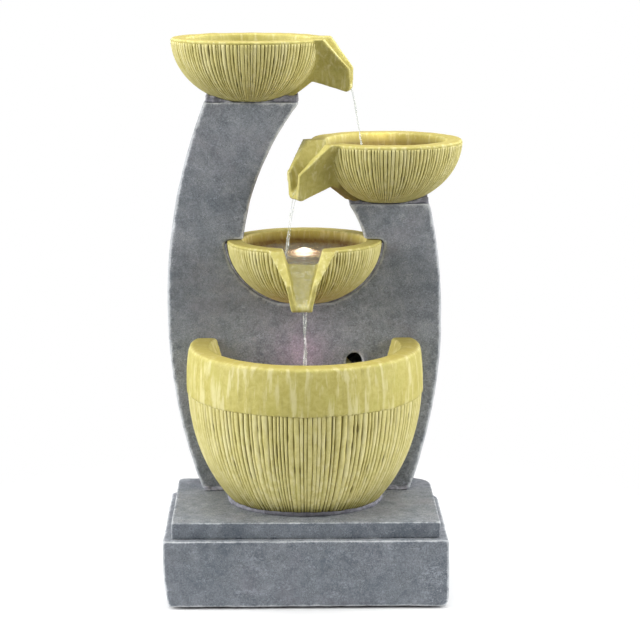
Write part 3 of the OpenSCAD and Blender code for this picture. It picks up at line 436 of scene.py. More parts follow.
# the last entry of each bowl sets how much darker and browner its inside is painted
bowls = {
    "topBowl": {"node": "top_bowl", "radius": 75, "turn": -9, "from": ("low", "low"), "seed": 21,
                "reach": 25, "drop": 51, "innerDarkening": 0.1},
    "secondBowl": {"node": "second_bowl", "radius": 74, "turn": 205, "from": ("high", "high"), "seed": 22,
                   "reach": 26, "drop": 55, "innerDarkening": 0.75},
    "middleBowl": {"node": "middle_bowl", "radius": 75.5, "turn": -92, "from": ("high", "high"),
                   "seed": 23, "reach": 24, "drop": 55, "innerDarkening": 1.0},
}


def bowlCentre(bowl):
    # the middle of the rim, from the faces of the node's box that the spout doesn't reach
    low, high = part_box(bowl["node"])
    r = bowl["radius"] * mm
    x = low.x + r if bowl["from"][0] == "low" else high.x - r
    y = low.y + r if bowl["from"][1] == "low" else high.y - r
    return Vector((x, y, high.z))


def turned(points, centre, degrees, back=False):
    # into the bowl's own frame in millimetres, with its spout along X, or back out of it
    a = math.radians(degrees)
    spin = np.array([[math.cos(a), math.sin(a), 0], [-math.sin(a), math.cos(a), 0], [0, 0, 1]])
    if back:
        return points @ spin * mm + np.array(centre)
    return (points - np.array(centre)) / mm @ spin.T


def spoutHalf(z):
    # half the width of the spout's outside at a height
    levels = (0, bowlShape["bend"], bowlShape["drop"])
    return np.interp(-z, levels, tuple(spoutWidths.values()))


def sidesOf(lines, side):
    # the groove lines at the near side of each rib, or at its far side
    return lines[side:len(lines) - 1 + side, None, :]


def ribGrid(count, rows, seed, depth):
    # angle, groove depth and tint of each point of the ribs, as arrays of ribs x columns x rows
    rng = np.random.default_rng(seed)
    widths = rng.uniform(0.68, 1.38, count)
    starts = np.concatenate([[0], np.cumsum(widths)]) / widths.sum() * 2 * math.pi
    along = np.linspace(0, 1, rows)
    sway = rng.uniform(0.02, 0.11, count) * 2 * math.pi / count
    phase = rng.uniform(0, 2 * math.pi, count)
    pace = rng.uniform(2, 7, count)
    late = phase[:, None]
    wander = sway[:, None] * np.sin(late + pace[:, None] * along)
    uneven = 0.25 * np.sin(late * 3 + 9 * along + 4 * np.sin(5 * along + late))
    deep = depth * (rng.uniform(0.65, 1.1, count)[:, None] + uneven)
    wide = rng.uniform(0.16, 0.26, count)[:, None] * (1 + 0.25 * np.sin(late + 13 * along))
    for _ in range(count // 3):
        rib, row = rng.integers(count), rng.integers(1, rows - 8)
        deep[rib, row:row + 2] *= 1.5
        wide[rib, row:row + 2] *= 1.6
    wander, deep, wide = (np.concatenate([v, v[:1]]) for v in (wander, deep, wide))
    lines = starts[:, None] + wander
    t = np.array(ribProfile)[None, :, None]
    angle = sidesOf(lines, 0) + (sidesOf(lines, 1) - sidesOf(lines, 0)) * t
    cut = sum(np.clip(1 - away / sidesOf(wide, side), 0, 1) ** 1.3 * sidesOf(deep, side)
              for side, away in enumerate((t, 1 - t)))
    crown = 0.34 * (2 * t - 1) ** 2 + rng.uniform(-0.1, 0.16, count)[:, None, None]
    tint = np.broadcast_to(rng.uniform(-1, 1, count)[:, None, None], angle.shape)
    return angle, cut, cut + crown, tint


def crestOf(groove):
    # 1 on the ribs' crowns, where the paint is rubbed pale
    return np.clip(1 - groove * 2.2, 0, 1)


def closedShell(outer, inner, keep):
    # two grids of points, wrapped round in the first direction, closed along every free edge
    columns, rows = keep.shape
    index = np.arange(columns * rows).reshape(columns, rows)
    after = np.roll(index, -1, axis=0)
    quads = np.stack([index[:, :-1], after[:, :-1], after[:, 1:], index[:, 1:]], axis=-1).reshape(-1, 4)
    quads = quads[keep.ravel()[quads].all(axis=1)]
    used = np.unique(quads)
    renumber = np.full(columns * rows, -1)
    renumber[used] = np.arange(len(used))
    quads = renumber[quads]
    count = len(used)
    faces = [tuple(q) for q in quads] + [tuple(q[::-1] + count) for q in quads]
    sides = {(q[k], q[(k + 1) % 4]) for q in quads for k in range(4)}
    faces += [(b, a, a + count, b + count) for a, b in sides if (b, a) not in sides]
    points = np.concatenate([outer.reshape(-1, 3)[used], inner.reshape(-1, 3)[used]])
    return points, faces, used


def joined(name, parts):
    # several closed skins in one mesh
    mesh = bpy.data.meshes.new(name)
    points, faces, count = [], [], 0
    for some, around in parts:
        points.append(some)
        faces += [tuple(int(v) + count for v in face) for face in around]
        count += len(some)
    mesh.from_pydata(np.concatenate(points).tolist(), [], faces)
    mesh.update()
    return mesh


def painted(name, parts):
    # the same, with the fields that the olive paint reads
    mesh = joined(name, [(part["points"], part["faces"]) for part in parts])
    for key in ("groove", "wearAndShade", "tint", "innerDarkening", "crest", "up"):
        values = [np.broadcast_to(part[key], len(part["points"])) for part in parts]
        setField(mesh, key, np.concatenate(values))
    return mesh


def bowlRibs(bowl, centre):
    s, r = ribSettings, bowl["radius"]
    deep = bowlShape["height"] + bowlShape["deeper"]
    first = math.asin(s["lip"] / deep)
    last = math.asin((bowlShape["height"] - 0.6) / deep)
    fall = np.linspace(first, last, s["rows"])
    angle, cut, low, tint = ribGrid(s["count"], s["rows"], bowl["seed"], s["depth"])
    angle, cut, low, tint = (grid.reshape(-1, s["rows"]) for grid in (angle, cut, low, tint))
    fade = np.clip((last - fall) / 0.25, 0.35, 1)
    normal = np.stack([np.cos(fall) / r, -np.sin(fall) / deep])
    normal /= np.hypot(*normal)

    def layer(offset):
        out = r * np.cos(fall) + normal[0] * offset
        z = np.broadcast_to(-deep * np.sin(fall) + normal[1] * offset, angle.shape)
        return np.stack([out * np.cos(angle), out * np.sin(angle), z], axis=-1)

    outer = layer(s["proud"] - low * fade)
    inner = layer(-np.full_like(low, s["inset"] + 1.4))
    x, y, z = np.moveaxis(outer, -1, 0)
    inSpout = (x > 0) & (abs(y) < spoutHalf(z) * 0.8) & (z > -26)
    points, faces, used = closedShell(outer, inner, ~inSpout)
    groove = np.concatenate([(cut / s["depth"]).ravel()[used], np.zeros(len(used))])
    shades = np.concatenate([tint.ravel()[used]] * 2)
    return {"points": turned(points, centre, bowl["turn"], back=True), "faces": faces, "groove": groove,
            "wearAndShade": 0.0, "tint": shades, "innerDarkening": 0.0, "crest": crestOf(groove), "up": 0.0}


def bowlCore(bowl, centre):
    # the bowl and its spout, with the ribbed wall set back behind the ribs
    mesh, edges, points = softSkin(bowl["node"], bowlShape["voxel"])
    normals = normalsOf(mesh)
    # above 0 it pales the rubbed edges, below 0 it paints shade into the inner corners
    wearAndShade = curl(points, edges, normals, 5)
    points = points + normals * (grain(points, 0.014, bowl["seed"], 2) * 0.22)[:, None] * mm
    local = turned(points, centre, bowl["turn"])
    x, y, z = local.T
    out = np.hypot(x, y)
    r, deep = bowl["radius"], bowlShape["height"] + bowlShape["deeper"]
    slope = np.stack([out / r ** 2, z / deep ** 2], axis=1)
    length = np.linalg.norm(slope, axis=1)
    away = ((out / r) ** 2 + (z / deep) ** 2 - 1) / 2 / length
    onWall = (abs(away) < 1.2) & (z < -ribSettings["lip"] - 0.2) & (z > -bowlShape["height"] + 0.8)
    bySpout = (x > 0) & (abs(y) < spoutHalf(z) + 1.2) & (z > -bowlShape["height"])
    shift = np.where(onWall & ~bySpout, ribSettings["inset"], 0)
    outward = slope[:, 0] / np.maximum(out, 1)
    unit = np.stack([outward * x, outward * y, slope[:, 1]], axis=1)
    local = local - unit / length[:, None] * shift[:, None]
    points = turned(local, centre, bowl["turn"], back=True)
    # the inside below the rim is painted darker and browner, by the share set for each bowl
    inside = np.clip((r - bowlShape["rim"] + 2 - out) / 3, 0, 1) * np.clip((-z - 2) / 8, 0, 1)
    return {"points": points, "faces": facesOf(mesh), "groove": np.where(shift > 0, 1.0, 0.0),
            "wearAndShade": np.where(shift > 0, 0, wearAndShade), "tint": 0.0, "innerDarkening": inside * bowl["innerDarkening"],
            "crest": 0.0, "up": normals[:, 2]}


olive = olivePaint("oliveCasting")
for pieceName, bowl in bowls.items():
    centre = bowlCentre(bowl)
    mesh = painted(pieceName, [bowlCore(bowl, centre), bowlRibs(bowl, centre)])
    addPiece(pieceName, mesh, "root", bowl["node"], paint=olive, slot="olive_casting")
    print(pieceName, len(mesh.polygons), "faces")


basinSettings = {"radius": 113, "belly": 118, "round": 150, "height": 154, "band": 45, "ribs": 144,
                 "depth": 1.4, "rows": 34, "seed": 31, "proud": 0.1, "inset": 1.8, "voxel": 1.7}


def basinEdge(h):
    s = basinSettings
    return s["radius"] * np.sqrt(1 - ((h - s["belly"]) / s["round"]) ** 2)


def pulledFoot(points):
    # the front of the foot is a little flatter than round
    share = 0.13 * np.clip(1 - points[:, 2] / 70, 0, 1) ** 2
    pulled = points.copy()
    pulled[:, 1] *= np.where(points[:, 1] < 0, 1 - share, 1)
    return pulled


def basinCentre():
    # on the step's top, under the middle of the rim
    low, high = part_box("basin")
    return Vector(((low.x + high.x) / 2, low.y + (high.x - low.x) / 2, low.z))


def basinRibs(centre):
    s = basinSettings
    top = s["height"] - s["band"] + 0.6
    h = np.linspace(top, 0.8, s["rows"])
    angle, cut, low, tint = ribGrid(s["ribs"], s["rows"], s["seed"], s["depth"])
    angle, cut, low, tint = (grid.reshape(-1, s["rows"]) for grid in (angle, cut, low, tint))
    slope = basinEdge(h + 0.5) - basinEdge(h - 0.5)
    normal = np.stack([np.ones_like(slope), -slope]) / np.hypot(1, slope)

    def layer(offset):
        out = basinEdge(h) + normal[0] * offset
        z = np.broadcast_to(h + normal[1] * offset, angle.shape)
        return np.stack([out * np.cos(angle), out * np.sin(angle), z], axis=-1)

    outer = layer(s["proud"] - low)
    inner = layer(-np.full_like(low, s["inset"] + 2))
    wall = (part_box("basin")[1].y - centre.y) / mm
    keep = outer[..., 1] < wall + 1.2
    outer[..., 1] = np.minimum(outer[..., 1], wall - 0.05)
    inner[..., 1] = np.minimum(inner[..., 1], wall - 0.05)
    points, faces, used = closedShell(outer, inner, keep)
    # the ribs are painted darker over the lowest 16 mm, towards the foot
    foot = 0.9 * np.clip(1 - h / 16, 0, 1) ** 1.5
    groove = np.concatenate([(cut / s["depth"] + foot).ravel()[used], np.zeros(len(used))])
    shades = np.concatenate([tint.ravel()[used]] * 2)
    return {"points": pulledFoot(points) * mm + np.array(centre), "faces": faces, "groove": groove,
            "wearAndShade": 0.0, "tint": shades, "innerDarkening": 0.0, "crest": crestOf(groove), "up": 0.0}


def basinCore(centre):
    s = basinSettings
    mesh, edges, points = softSkin("basin", s["voxel"])
    normals = normalsOf(mesh)
    # above 0 it pales the rubbed edges, below 0 it paints shade into the inner corners
    wearAndShade = curl(points, edges, normals, 5)
    local = (points - np.array(centre)) / mm
    x, y, z = local.T
    out = np.hypot(x, y)
    away = out - basinEdge(np.clip(z, 0, s["height"]))
    bandLow = s["height"] - s["band"]
    onWall = (away > -1.5) & (z < bandLow - 0.6) & (z > 0.8)
    shift = np.where(onWall, s["inset"], 0)
    around = np.arctan2(y, x)
    streak = grain(np.stack([around * 110, z * 0.12, 0 * z], axis=1), 5, s["seed"], 2)
    runs = np.where((away > -2) & ~onWall, streak * 0.35, 0) + grain(points, 0.016, s["seed"], 2) * 0.25
    unit = np.stack([x / np.maximum(out, 1), y / np.maximum(out, 1), 0 * z], axis=1)
    local = local + unit * (runs - shift)[:, None]
    return {"points": pulledFoot(local) * mm + np.array(centre), "faces": facesOf(mesh),
            "groove": np.where(onWall, 1.0, 0.0), "wearAndShade": np.where(onWall, 0, wearAndShade),
            "tint": np.where(onWall, 0, streak * 1.3), "innerDarkening": 0.0, "crest": 0.0, "up": normals[:, 2]}


centre = basinCentre()
mesh = painted("basin", [basinCore(centre), basinRibs(centre)])
addPiece("ribbedBasin", mesh, "root", "basin", paint=olive, slot="olive_casting")
print("ribbedBasin", len(mesh.polygons), "faces")


def cementPaint(name):
    paint = Paint(name, roughness=0.9, specularIORLevel=0.25)
    patch = cloud(paint, 0.006, 6, 0.7, warp=0.5)
    fine = cloud(paint, 0.0012, 3, 0.6)
    colour = blend(paint, tone(106, 106, 114), tone(152, 152, 162), window(paint, patch, 0.34, 0.66))
    wearAndShade = field(paint, "wearAndShade")
    rub = window(paint, wearAndShade + (patch - 0.5) * 0.8, 0.2, 0.7)
    colour = blend(paint, colour, tone(186, 186, 192), rub * 0.6)
    # painted shade in the inner corners, where the surface curls inwards
    shade = window(paint, 0 - wearAndShade + (fine - 0.5), 0.1, 0.7)
    colour = blend(paint, colour, tone(58, 56, 62), shade * 0.6)
    # painted shadow across the front of the basin collar, under the basin
    colour = blend(paint, colour, tone(52, 50, 52), field(paint, "front") * 0.75)
    paint.set(baseColor=colour, normal=relief(paint, patch * 0.6 + fine * 0.4, 0.0009))
    return paint


cementSettings = {
    "topBowlBed": {"node": "top_bowl_bed", "voxel": 1.1, "rough": 0.9, "seed": 41},
    "secondBowlBed": {"node": "second_bowl_bed", "voxel": 1.1, "rough": 0.9, "seed": 43},
    "middleBowlGrout": {"node": "middle_bowl_grout", "voxel": 1.0, "rough": 0.35, "seed": 45},
    "basinCollar": {"node": "basin_collar", "voxel": 1.1, "rough": 0.7, "seed": 47},
    "panelFootBeads": {"node": "panel_foot_beads", "voxel": 0.9, "rough": 0.6, "seed": 49},
}
cement = cementPaint("pressedCement")
for pieceName, s in cementSettings.items():
    mesh, edges, points = softSkin(s["node"], s["voxel"])
    lumps = grain(points, 0.007, s["seed"], 3) * s["rough"]
    points = points + normalsOf(mesh) * lumps[:, None] * mm
    # front is a painted shadow: 1 at the front of the basin collar, under the basin, and 0 at its sides
    # and on the other beads
    front = np.zeros(len(points))
    if pieceName == "basinCollar":
        local = pulledFoot((points - np.array(centre)) / mm)
        front = np.clip(-local[:, 1] / 75, 0, 1) ** 2
        points = local * mm + np.array(centre)
    setPoints(mesh, points)
    # above 0 it pales the rubbed edges, below 0 it paints shade into the inner corners
    setField(mesh, "wearAndShade", curl(points, edges, normalsOf(mesh), 5))
    setField(mesh, "front", front)
    addPiece(pieceName, mesh, "root", s["node"], paint=cement, slot="cement")
print("cement done")


def swept(route, radii, sides=12):
    # a closed round strand along a route
    heading = np.gradient(route, axis=0)
    heading /= np.linalg.norm(heading, axis=1)[:, None]
    across = np.cross(heading, (0.0, 1.0, 0.0))
    across /= np.linalg.norm(across, axis=1)[:, None]
    up = np.cross(across, heading)
    turn = np.arange(sides) / sides * 2 * math.pi
    ring = np.cos(turn)[None, :, None] * across[:, None] + np.sin(turn)[None, :, None] * up[:, None]
    points = route[:, None] + ring * np.asarray(radii)[:, None, None]
    rows, faces = len(route), []
    for row in range(rows - 1):
        for side in range(sides):
            first, after = row * sides + side, row * sides + (side + 1) % sides
            faces.append((first, after, after + sides, first + sides))
    faces.append(tuple(range(sides))[::-1])
    faces.append(tuple((rows - 1) * sides + side for side in range(sides)))
    return points.reshape(-1, 3), faces


def waterPaint(name, clear, foamy=0.3):
    paint = Paint(name, IOR=1.33, specularIORLevel=0.7, emissionStrength=1.0)
    glow = field(paint, "glow")
    ripple = cloud(paint, 0.006, 3, 0.5, warp=0.8)
    foam = window(paint, cloud(paint, 0.003, 4, 0.6, stretch=(1, 1, 0.4)), 0.5, 0.62) * foamy
    colour = blend(paint, tone(206, 214, 206), tone(248, 250, 250), foam)
    lit = blend(paint, (0.0, 0.0, 0.0), tone(206, 128, 52), window(paint, glow, 0.02, 0.4))
    lit = blend(paint, lit, tone(255, 244, 226), window(paint, glow, 0.3, 0.85))
    paint.set(baseColor=colour, roughness=0.04 + foam * 0.1, normal=relief(paint, ripple, 0.0006),
              emissionColor=lit, alpha=glow * 0.75 + clear + foam * 0.5)
    return paint


stillWater = waterPaint("stillWater", 0.14)
filmWater = waterPaint("filmWater", 0.1)
runningWater = waterPaint("runningWater", 0.25, 1.0)

streams = {
    "topStream": {"bowl": "topBowl", "into": "secondBowl",
                  "drift": 11, "apart": 2.6, "aside": 0, "seed": 61},
    "secondStream": {"bowl": "secondBowl", "into": "middleBowl",
                     "drift": 9, "apart": 2.6, "aside": 1.5, "seed": 62},
    "middleStream": {"bowl": "middleBowl", "into": "basin",
                     "drift": 2, "apart": 1.1, "aside": 3, "seed": 63},
}
ropeSettings = {"radius": 0.5, "taper": 0.15, "bead": 0.85, "rows": 40}
waterDepths = {"topBowl": 13, "secondBowl": 13, "middleBowl": 13, "basin": 29}


def waterLevel(name):
    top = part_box(bowls[name]["node"])[1].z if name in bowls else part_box("basin")[1].z
    return top - waterDepths[name] * mm


def spoutTip(bowl):
    # the middle of the channel's floor at the tip, and the way it points
    turn = math.radians(bowl["turn"])
    ahead = Vector((math.cos(turn), math.sin(turn), 0))
    floor = Vector((0, 0, (bowl["drop"] - lip) * mm))
    return bowlCentre(bowl) + ahead * (bowl["radius"] + bowl["reach"]) * mm - floor, ahead


def landing(s):
    tip, ahead = spoutTip(bowls[s["bowl"]])
    spot = tip + ahead * s["drift"] * mm
    return Vector((spot.x, spot.y, waterLevel(s["into"])))


def streamMesh(name, s):
    # two ropes of water that twist about each other as they fall
    tip, ahead = spoutTip(bowls[s["bowl"]])
    end = landing(s)
    side = Vector((-ahead.y, ahead.x, 0))
    along = np.linspace(0, 1, ropeSettings["rows"])
    fall = along ** 1.4  # the water speeds up as it falls
    start = tip - ahead * 2 * mm + Vector((0, 0, 1.4 * mm))
    parts = []
    for k, offset in enumerate((-1, 1)):
        sway = 0.35 * np.sin(9 * along + s["seed"] + k)
        apart = (s["aside"] + offset * (s["apart"] * (1 - 0.5 * fall) + sway)) * mm
        route = np.array(start) + np.outer(along, np.array(ahead) * (end - start).dot(ahead))
        route += np.outer(apart, side)
        route[:, 2] = start.z + (end.z - 2 * mm - start.z) * fall
        beads = np.sin(27 * along + 2 * k + s["seed"]) * np.sin(11 * along + k)
        thick = ropeSettings["bead"] * np.clip(beads, -0.1, 1) * (0.3 + 0.7 * along)
        radii = (ropeSettings["radius"] - ropeSettings["taper"] * fall + thick) * mm
        parts.append(swept(route, radii))
    return joined(name, parts)


def spoutFilm(bowl):
    # a thin sheet of water down the spout's channel
    shape, rows, columns = bowlShape, 30, 13
    t = np.linspace(0, 1, rows)[:, None]
    u = np.linspace(-1, 1, columns)[None, :]
    startX, tipX = bowl["radius"] - shape["rim"] - 6, bowl["radius"] + bowl["reach"] - 0.4
    kneeX = bowl["radius"] - shape["rim"] + 2
    x = startX + (tipX - startX) * t
    floor = -np.interp(x, (startX, kneeX, tipX + 0.4), (shape["sill"], shape["sill"], bowl["drop"] - lip))
    half = np.interp(-floor, (0, shape["bend"], bowl["drop"] - 4), tuple(channelWidths.values()))
    y = half * u * 0.97
    ridge = 0.35 * np.sin(9 * u + 3 * t + bowl["seed"]) + 0.25 * np.sin(17 * u - 7 * t)
    top = floor + 1.3 - 0.5 * abs(u) ** 3 + ridge * (1 - u ** 2)
    low = floor - 0.3 + 0 * u
    layers = [np.stack([x + 0 * u, y, z], axis=-1).reshape(-1, 3) for z in (top, low)]
    points = turned(np.concatenate(layers), bowlCentre(bowl), bowl["turn"], back=True)
    index = np.arange(rows * columns).reshape(rows, columns)
    corners = [index[:-1, :-1], index[1:, :-1], index[1:, 1:], index[:-1, 1:]]
    return points, shellOf(np.stack(corners, axis=-1).reshape(-1, 4), rows * columns)


def shellOf(quads, count):
    # top faces, the same faces underneath, and a wall round every free edge
    faces = [tuple(int(v) for v in q) for q in quads]
    sides = {(f[k], f[(k + 1) % 4]) for f in faces for k in range(4)}
    under = [tuple(v + count for v in f[::-1]) for f in faces]
    wall = [(b, a, a + count, b + count) for a, b in sides if (b, a) not in sides]
    return faces + under + wall


poolSettings = {"rings": 46, "steps": 120, "thick": 2.5, "wave": 1.1, "swell": 3.5}


def pool(centre, radius, level, drops, back, seed, lamp=None):
    # water with rings round the places where more falls into it, and a low swell over a lamp
    rings, steps = poolSettings["rings"], poolSettings["steps"]
    out = np.linspace(0.02, 1, rings)[:, None] * radius
    turn = np.arange(steps)[None, :] / steps * 2 * math.pi
    x = centre[0] + out * np.cos(turn)
    y = np.minimum(centre[1] + out * np.sin(turn), back)
    z = np.zeros_like(x)
    for drop in drops:
        away = np.hypot(x - drop[0], y - drop[1]) / mm
        z += poolSettings["wave"] * np.cos(away * 0.85) * np.exp(-away / 11)
    if lamp:
        away = np.hypot(x - lamp.x, y - lamp.y) / mm
        z += poolSettings["swell"] * np.exp(-(away / 8) ** 2)
    z += 0.25 * grain(np.stack([x, y, 0 * x], axis=-1).reshape(-1, 3), 0.012, seed, 2).reshape(x.shape)
    top = np.stack([x, y, level + z * mm], axis=-1).reshape(-1, 3)
    low = np.stack([x, y, np.full_like(x, level - poolSettings["thick"] * mm)], axis=-1).reshape(-1, 3)
    index = np.arange(rings * steps).reshape(rings, steps)
    after = np.roll(index, -1, axis=1)
    quads = np.stack([index[:-1], index[1:], after[1:], after[:-1]], axis=-1).reshape(-1, 4)
    eye = tuple(range(steps))
    ends = [eye, tuple(v + rings * steps for v in eye[::-1])]
    return np.concatenate([top, low]), shellOf(quads, rings * steps) + ends


def middleOf(node):
    low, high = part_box(node)
    return (low + high) / 2


def bowlPool(name, bowl):
    shape = bowlShape
    wide = bowl["radius"] - shape["rim"] - shape["flat"]
    deep = waterDepths[name] / shape["inner"]
    radius = (shape["flat"] + wide * math.sqrt(1 - deep ** 2) + 0.6) * mm
    drops = [landing(s) for s in streams.values() if s["into"] == name]
    centre = bowlCentre(bowl)
    if name == "topBowl":
        drops = [Vector((centre.x, centre.y, 0))]
        return pool(centre, radius, waterLevel(name), drops, 1.0, bowl["seed"] + 40)
    lamp = middleOf(bowl["node"].replace("bowl", "light_lens"))
    return pool(centre, radius, waterLevel(name), drops, 1.0, bowl["seed"] + 40, lamp)


def litFrom(mesh, lens, reach, ahead=0):
    # the water shines where it lies over a lamp
    middle = middleOf(lens) - Vector((0, ahead, 0)) * mm
    away = np.hypot(*(pointsOf(mesh)[:, :2] - np.array(middle.xy)).T) / mm
    setField(mesh, "glow", np.exp(-(away / reach) ** 2))


for name, bowl in bowls.items():
    water = name.replace("Bowl", "Water")
    mesh = joined(water, [bowlPool(name, bowl)])
    if name != "topBowl":
        litFrom(mesh, bowl["node"].replace("bowl", "light_lens"), 12, 5)
    addPiece(water, mesh, "root", paint=stillWater)
    film = name.replace("Bowl", "Film")
    addPiece(film, joined(film, [spoutFilm(bowl)]), "root", paint=filmWater)
for name, s in streams.items():
    addPiece(name, streamMesh(name, s), "root", paint=runningWater)

basinWater = {"radius": 85.2, "ahead": 4, "seed": 77}
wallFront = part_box("back_panel")[0].y
middle = basinCentre()
spot = (middle.x, middle.y - basinWater["ahead"] * mm)
falls = [landing(streams["middleStream"])]
reach, back = basinWater["radius"] * mm, wallFront + 0.2 * mm
mesh = joined("basinWater", [pool(spot, reach, waterLevel("basin"), falls, back, basinWater["seed"])])
litFrom(mesh, "basin_light_lens", 10)
addPiece("basinWater", mesh, "root", paint=stillWater)
print("water done")


def smoothTube(name, node, levels):
    # a rounder copy of a faceted tube
    mesh = modified(welded(frame["nodes"][node]), "SUBSURF", levels=levels)
    return addPiece(name, mesh, "root", node)


finishes = {
    "base_board": {"colour": (52, 46, 40), "rough": 0.8, "patch": 0.012, "grit": 0.0012,
                   "depth": 0.0002, "vary": 0.35},
    "pad_foam": {"colour": (44, 44, 46), "rough": 0.95, "patch": 0.008, "grit": 0.0008,
                 "depth": 0.0004, "vary": 0.3},
    "steel": {"colour": (196, 198, 200), "rough": 0.3, "patch": 0.004, "grit": 0.0005, "depth": 0.00003,
              "vary": 0.12, "metallic": 1.0},
    "brass_insert": {"colour": (208, 172, 96), "rough": 0.35, "patch": 0.003, "grit": 0.0005,
                     "depth": 0.00003, "vary": 0.15, "metallic": 1.0},
    "hatch_plastic": {"colour": (98, 101, 104), "rough": 0.6, "patch": 0.02, "grit": 0.0006,
                      "depth": 0.00012, "vary": 0.12},
    "pump_plastic": {"colour": (40, 41, 43), "rough": 0.45, "patch": 0.015, "grit": 0.0006,
                     "depth": 0.00005, "vary": 0.2},
    "chamber_plastic": {"colour": (84, 87, 90), "rough": 0.45, "patch": 0.012, "grit": 0.0006,
                        "depth": 0.00005, "vary": 0.18},
    "rotor": {"colour": (226, 228, 230), "rough": 0.3, "patch": 0.006, "grit": 0.0006,
              "depth": 0.00003, "vary": 0.08},
    "shaft_ceramic": {"colour": (232, 228, 216), "rough": 0.2, "patch": 0.003, "grit": 0.0004,
                      "depth": 0.00001, "vary": 0.08},
    "black_rubber": {"colour": (36, 36, 36), "rough": 0.85, "patch": 0.006, "grit": 0.0005,
                     "depth": 0.0001, "vary": 0.3},
    "hose_vinyl": {"colour": (196, 190, 140), "rough": 0.25, "patch": 0.02, "grit": 0.001,
                   "depth": 0.00004, "vary": 0.2},
    "fitting_plastic": {"colour": (50, 51, 52), "rough": 0.4, "patch": 0.006, "grit": 0.0005,
                        "depth": 0.00004, "vary": 0.2},
    "light_body": {"colour": (222, 222, 216), "rough": 0.35, "patch": 0.006, "grit": 0.0006,
                   "depth": 0.00003, "vary": 0.08},
    "lead_jacket": {"colour": (44, 44, 44), "rough": 0.5, "patch": 0.01, "grit": 0.0006,
                    "depth": 0.00005, "vary": 0.2},
}
glows = {
    "warm_lens": {"colour": (255, 236, 190), "power": 26},
    "violet_lens": {"colour": (244, 176, 232), "power": 26},
}


def partPaint(name, s):
    # dust and handling in patches over a moulded or turned part
    paint = Paint(name, metallic=s.get("metallic", 0.0), specularIORLevel=0.5)
    patch = cloud(paint, s["patch"], 5, 0.62, warp=0.4)
    grit = cloud(paint, s["grit"], 3, 0.6)
    base = tone(*s["colour"])
    dark = tuple(c * (1 - s["vary"]) for c in base)
    pale = tuple(min(1, c * (1 + s["vary"]) + 0.01) for c in base)
    colour = blend(paint, dark, pale, window(paint, patch * 0.7 + grit * 0.3, 0.36, 0.64))
    dust = window(paint, patch + (grit - 0.5) * 0.5, 0.6, 0.8)
    colour = blend(paint, colour, tone(150, 146, 138), dust * 0.14)
    rough = s["rough"] + (grit - 0.5) * 0.16 + dust * 0.15
    paint.set(baseColor=colour, roughness=rough, normal=relief(paint, grit, s["depth"]))
    return paint


def lensPaint(name, s):
    paint = Paint(name, roughness=0.2, emissionStrength=s["power"])
    patch = cloud(paint, 0.003, 3, 0.5)
    base = tone(*s["colour"])
    glow = blend(paint, base, tuple(c * 0.8 for c in base), window(paint, patch, 0.3, 0.7))
    paint.set(baseColor=base, emissionColor=glow)
    return paint


paints = {name: partPaint(name, s) for name, s in finishes.items()}
paints.update({name: lensPaint(name, s) for name, s in glows.items()})
paints.update({"grey_casting": slate, "olive_casting": olive, "cement": cement})
for part in frame["record"]["subparts"]:
    materials = frame["nodes"][part["node"]].data.materials
    materials.clear()
    materials.append(paints[part["material_slot"]].material)
smoothTube("deliveryHose", "delivery_hose", 1)
print("hardware painted")


lightSettings = {
    "overhead": {"place": (0.0, 0.2, 1.9), "size": 1.1, "power": 32},
    "frontHigh": {"place": (0.0, -2.0, 1.5), "size": 1.0, "power": 8},
    "leftBox": {"place": (-1.9, -0.45, 0.9), "size": 1.2, "power": 55},
    "rightBox": {"place": (1.9, -0.45, 0.9), "size": 1.2, "power": 46},
    "rearLeft": {"place": (-1.2, 1.5, 1.2), "size": 1.0, "power": 14},
    "rearRight": {"place": (1.2, 1.5, 1.2), "size": 1.0, "power": 14},
}
worldStrength = 0.22
lampSettings = {
    "secondGlow": {"lens": "second_light_lens", "ahead": (-8, 45, 38), "power": 0.009,
                   "colour": (1.0, 0.85, 0.62)},
    "middleGlow": {"lens": "middle_light_lens", "ahead": (0, 2, 38), "power": 0.014,
                   "colour": (1.0, 0.6, 0.28)},
    "basinGlow": {"lens": "basin_light_lens", "ahead": (-2, -20, 24), "power": 0.016,
                  "colour": (1.0, 0.42, 0.62)},
}


def setLamps():
    # the glow of each lamp in the water, just beyond its lens
    for name, s in lampSettings.items():
        lamp = bpy.data.lights.new(name, "POINT")
        lamp.energy, lamp.color, lamp.shadow_soft_size = s["power"], s["colour"], 4 * mm
        holder = bpy.data.objects.new(name, lamp)
        bpy.context.scene.collection.objects.link(holder)
        holder.location = middleOf(s["lens"]) + Vector(s["ahead"]) * mm
        holder.visible_glossy = False


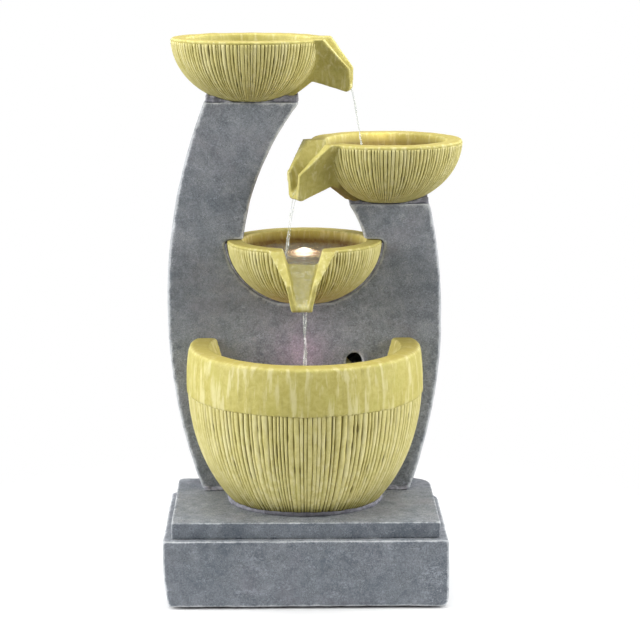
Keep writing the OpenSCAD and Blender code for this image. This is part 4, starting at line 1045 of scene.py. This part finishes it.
def setLights():
    middle = (cadLow + cadHigh) / 2
    for name, s in lightSettings.items():
        lamp = bpy.data.lights.new(name, "AREA")
        lamp.size = s["size"]
        lamp.energy = s["power"]
        holder = bpy.data.objects.new(name, lamp)
        bpy.context.scene.collection.objects.link(holder)
        holder.location = s["place"]
        holder.rotation_euler = (middle - Vector(s["place"])).to_track_quat("-Z", "Y").to_euler()
    world = bpy.data.worlds.new("paleRoom")
    bpy.context.scene.world = world
    world.use_nodes = True
    tree = world.node_tree
    tree.nodes.clear()
    seen, room = tree.nodes.new("ShaderNodeBackground"), tree.nodes.new("ShaderNodeBackground")
    seen.inputs["Strength"].default_value = 1.0
    seen.inputs["Color"].default_value = (1, 1, 1, 1)
    room.inputs["Color"].default_value = (1, 1, 1, 1)
    room.inputs["Strength"].default_value = worldStrength
    path, mix, end = (tree.nodes.new(kind) for kind in
                      ("ShaderNodeLightPath", "ShaderNodeMixShader", "ShaderNodeOutputWorld"))
    tree.links.new(path.outputs["Is Camera Ray"], mix.inputs[0])
    tree.links.new(room.outputs[0], mix.inputs[1])
    tree.links.new(seen.outputs[0], mix.inputs[2])
    tree.links.new(mix.outputs[0], end.inputs["Surface"])


floorSettings = {"radius": 0.8, "shade": 0.8, "fadeFrom": 0.17, "fadeTo": 0.5}


def layFloor():
    # a pale round floor that fades into the white room
    s = floorSettings
    work = bmesh.new()
    bmesh.ops.create_circle(work, cap_ends=True, radius=s["radius"], segments=96)
    mesh = bpy.data.meshes.new("floor")
    work.to_mesh(mesh)
    work.free()
    paint = Paint("paleFloor", baseColor=(s["shade"],) * 3, roughness=0.7, specularIORLevel=0.1)
    away = paint.node("ShaderNodeVectorMath", {"operation": "LENGTH"}, {0: place(paint)}, output="Value")
    clear = paint.node("ShaderNodeBsdfTransparent")
    fade = window(paint, away, s["fadeFrom"], s["fadeTo"])
    shader = Wire(paint, paint.shader.outputs[0])
    both = paint.node("ShaderNodeMixShader", inputs={0: fade, 1: shader, 2: clear})
    paint.tree.links.new(both.socket, paint.output.inputs["Surface"])
    mesh.materials.append(paint.material)
    floor = bpy.data.objects.new("floor", mesh)
    bpy.context.scene.collection.objects.link(floor)


setLights()
setLamps()
layFloor()
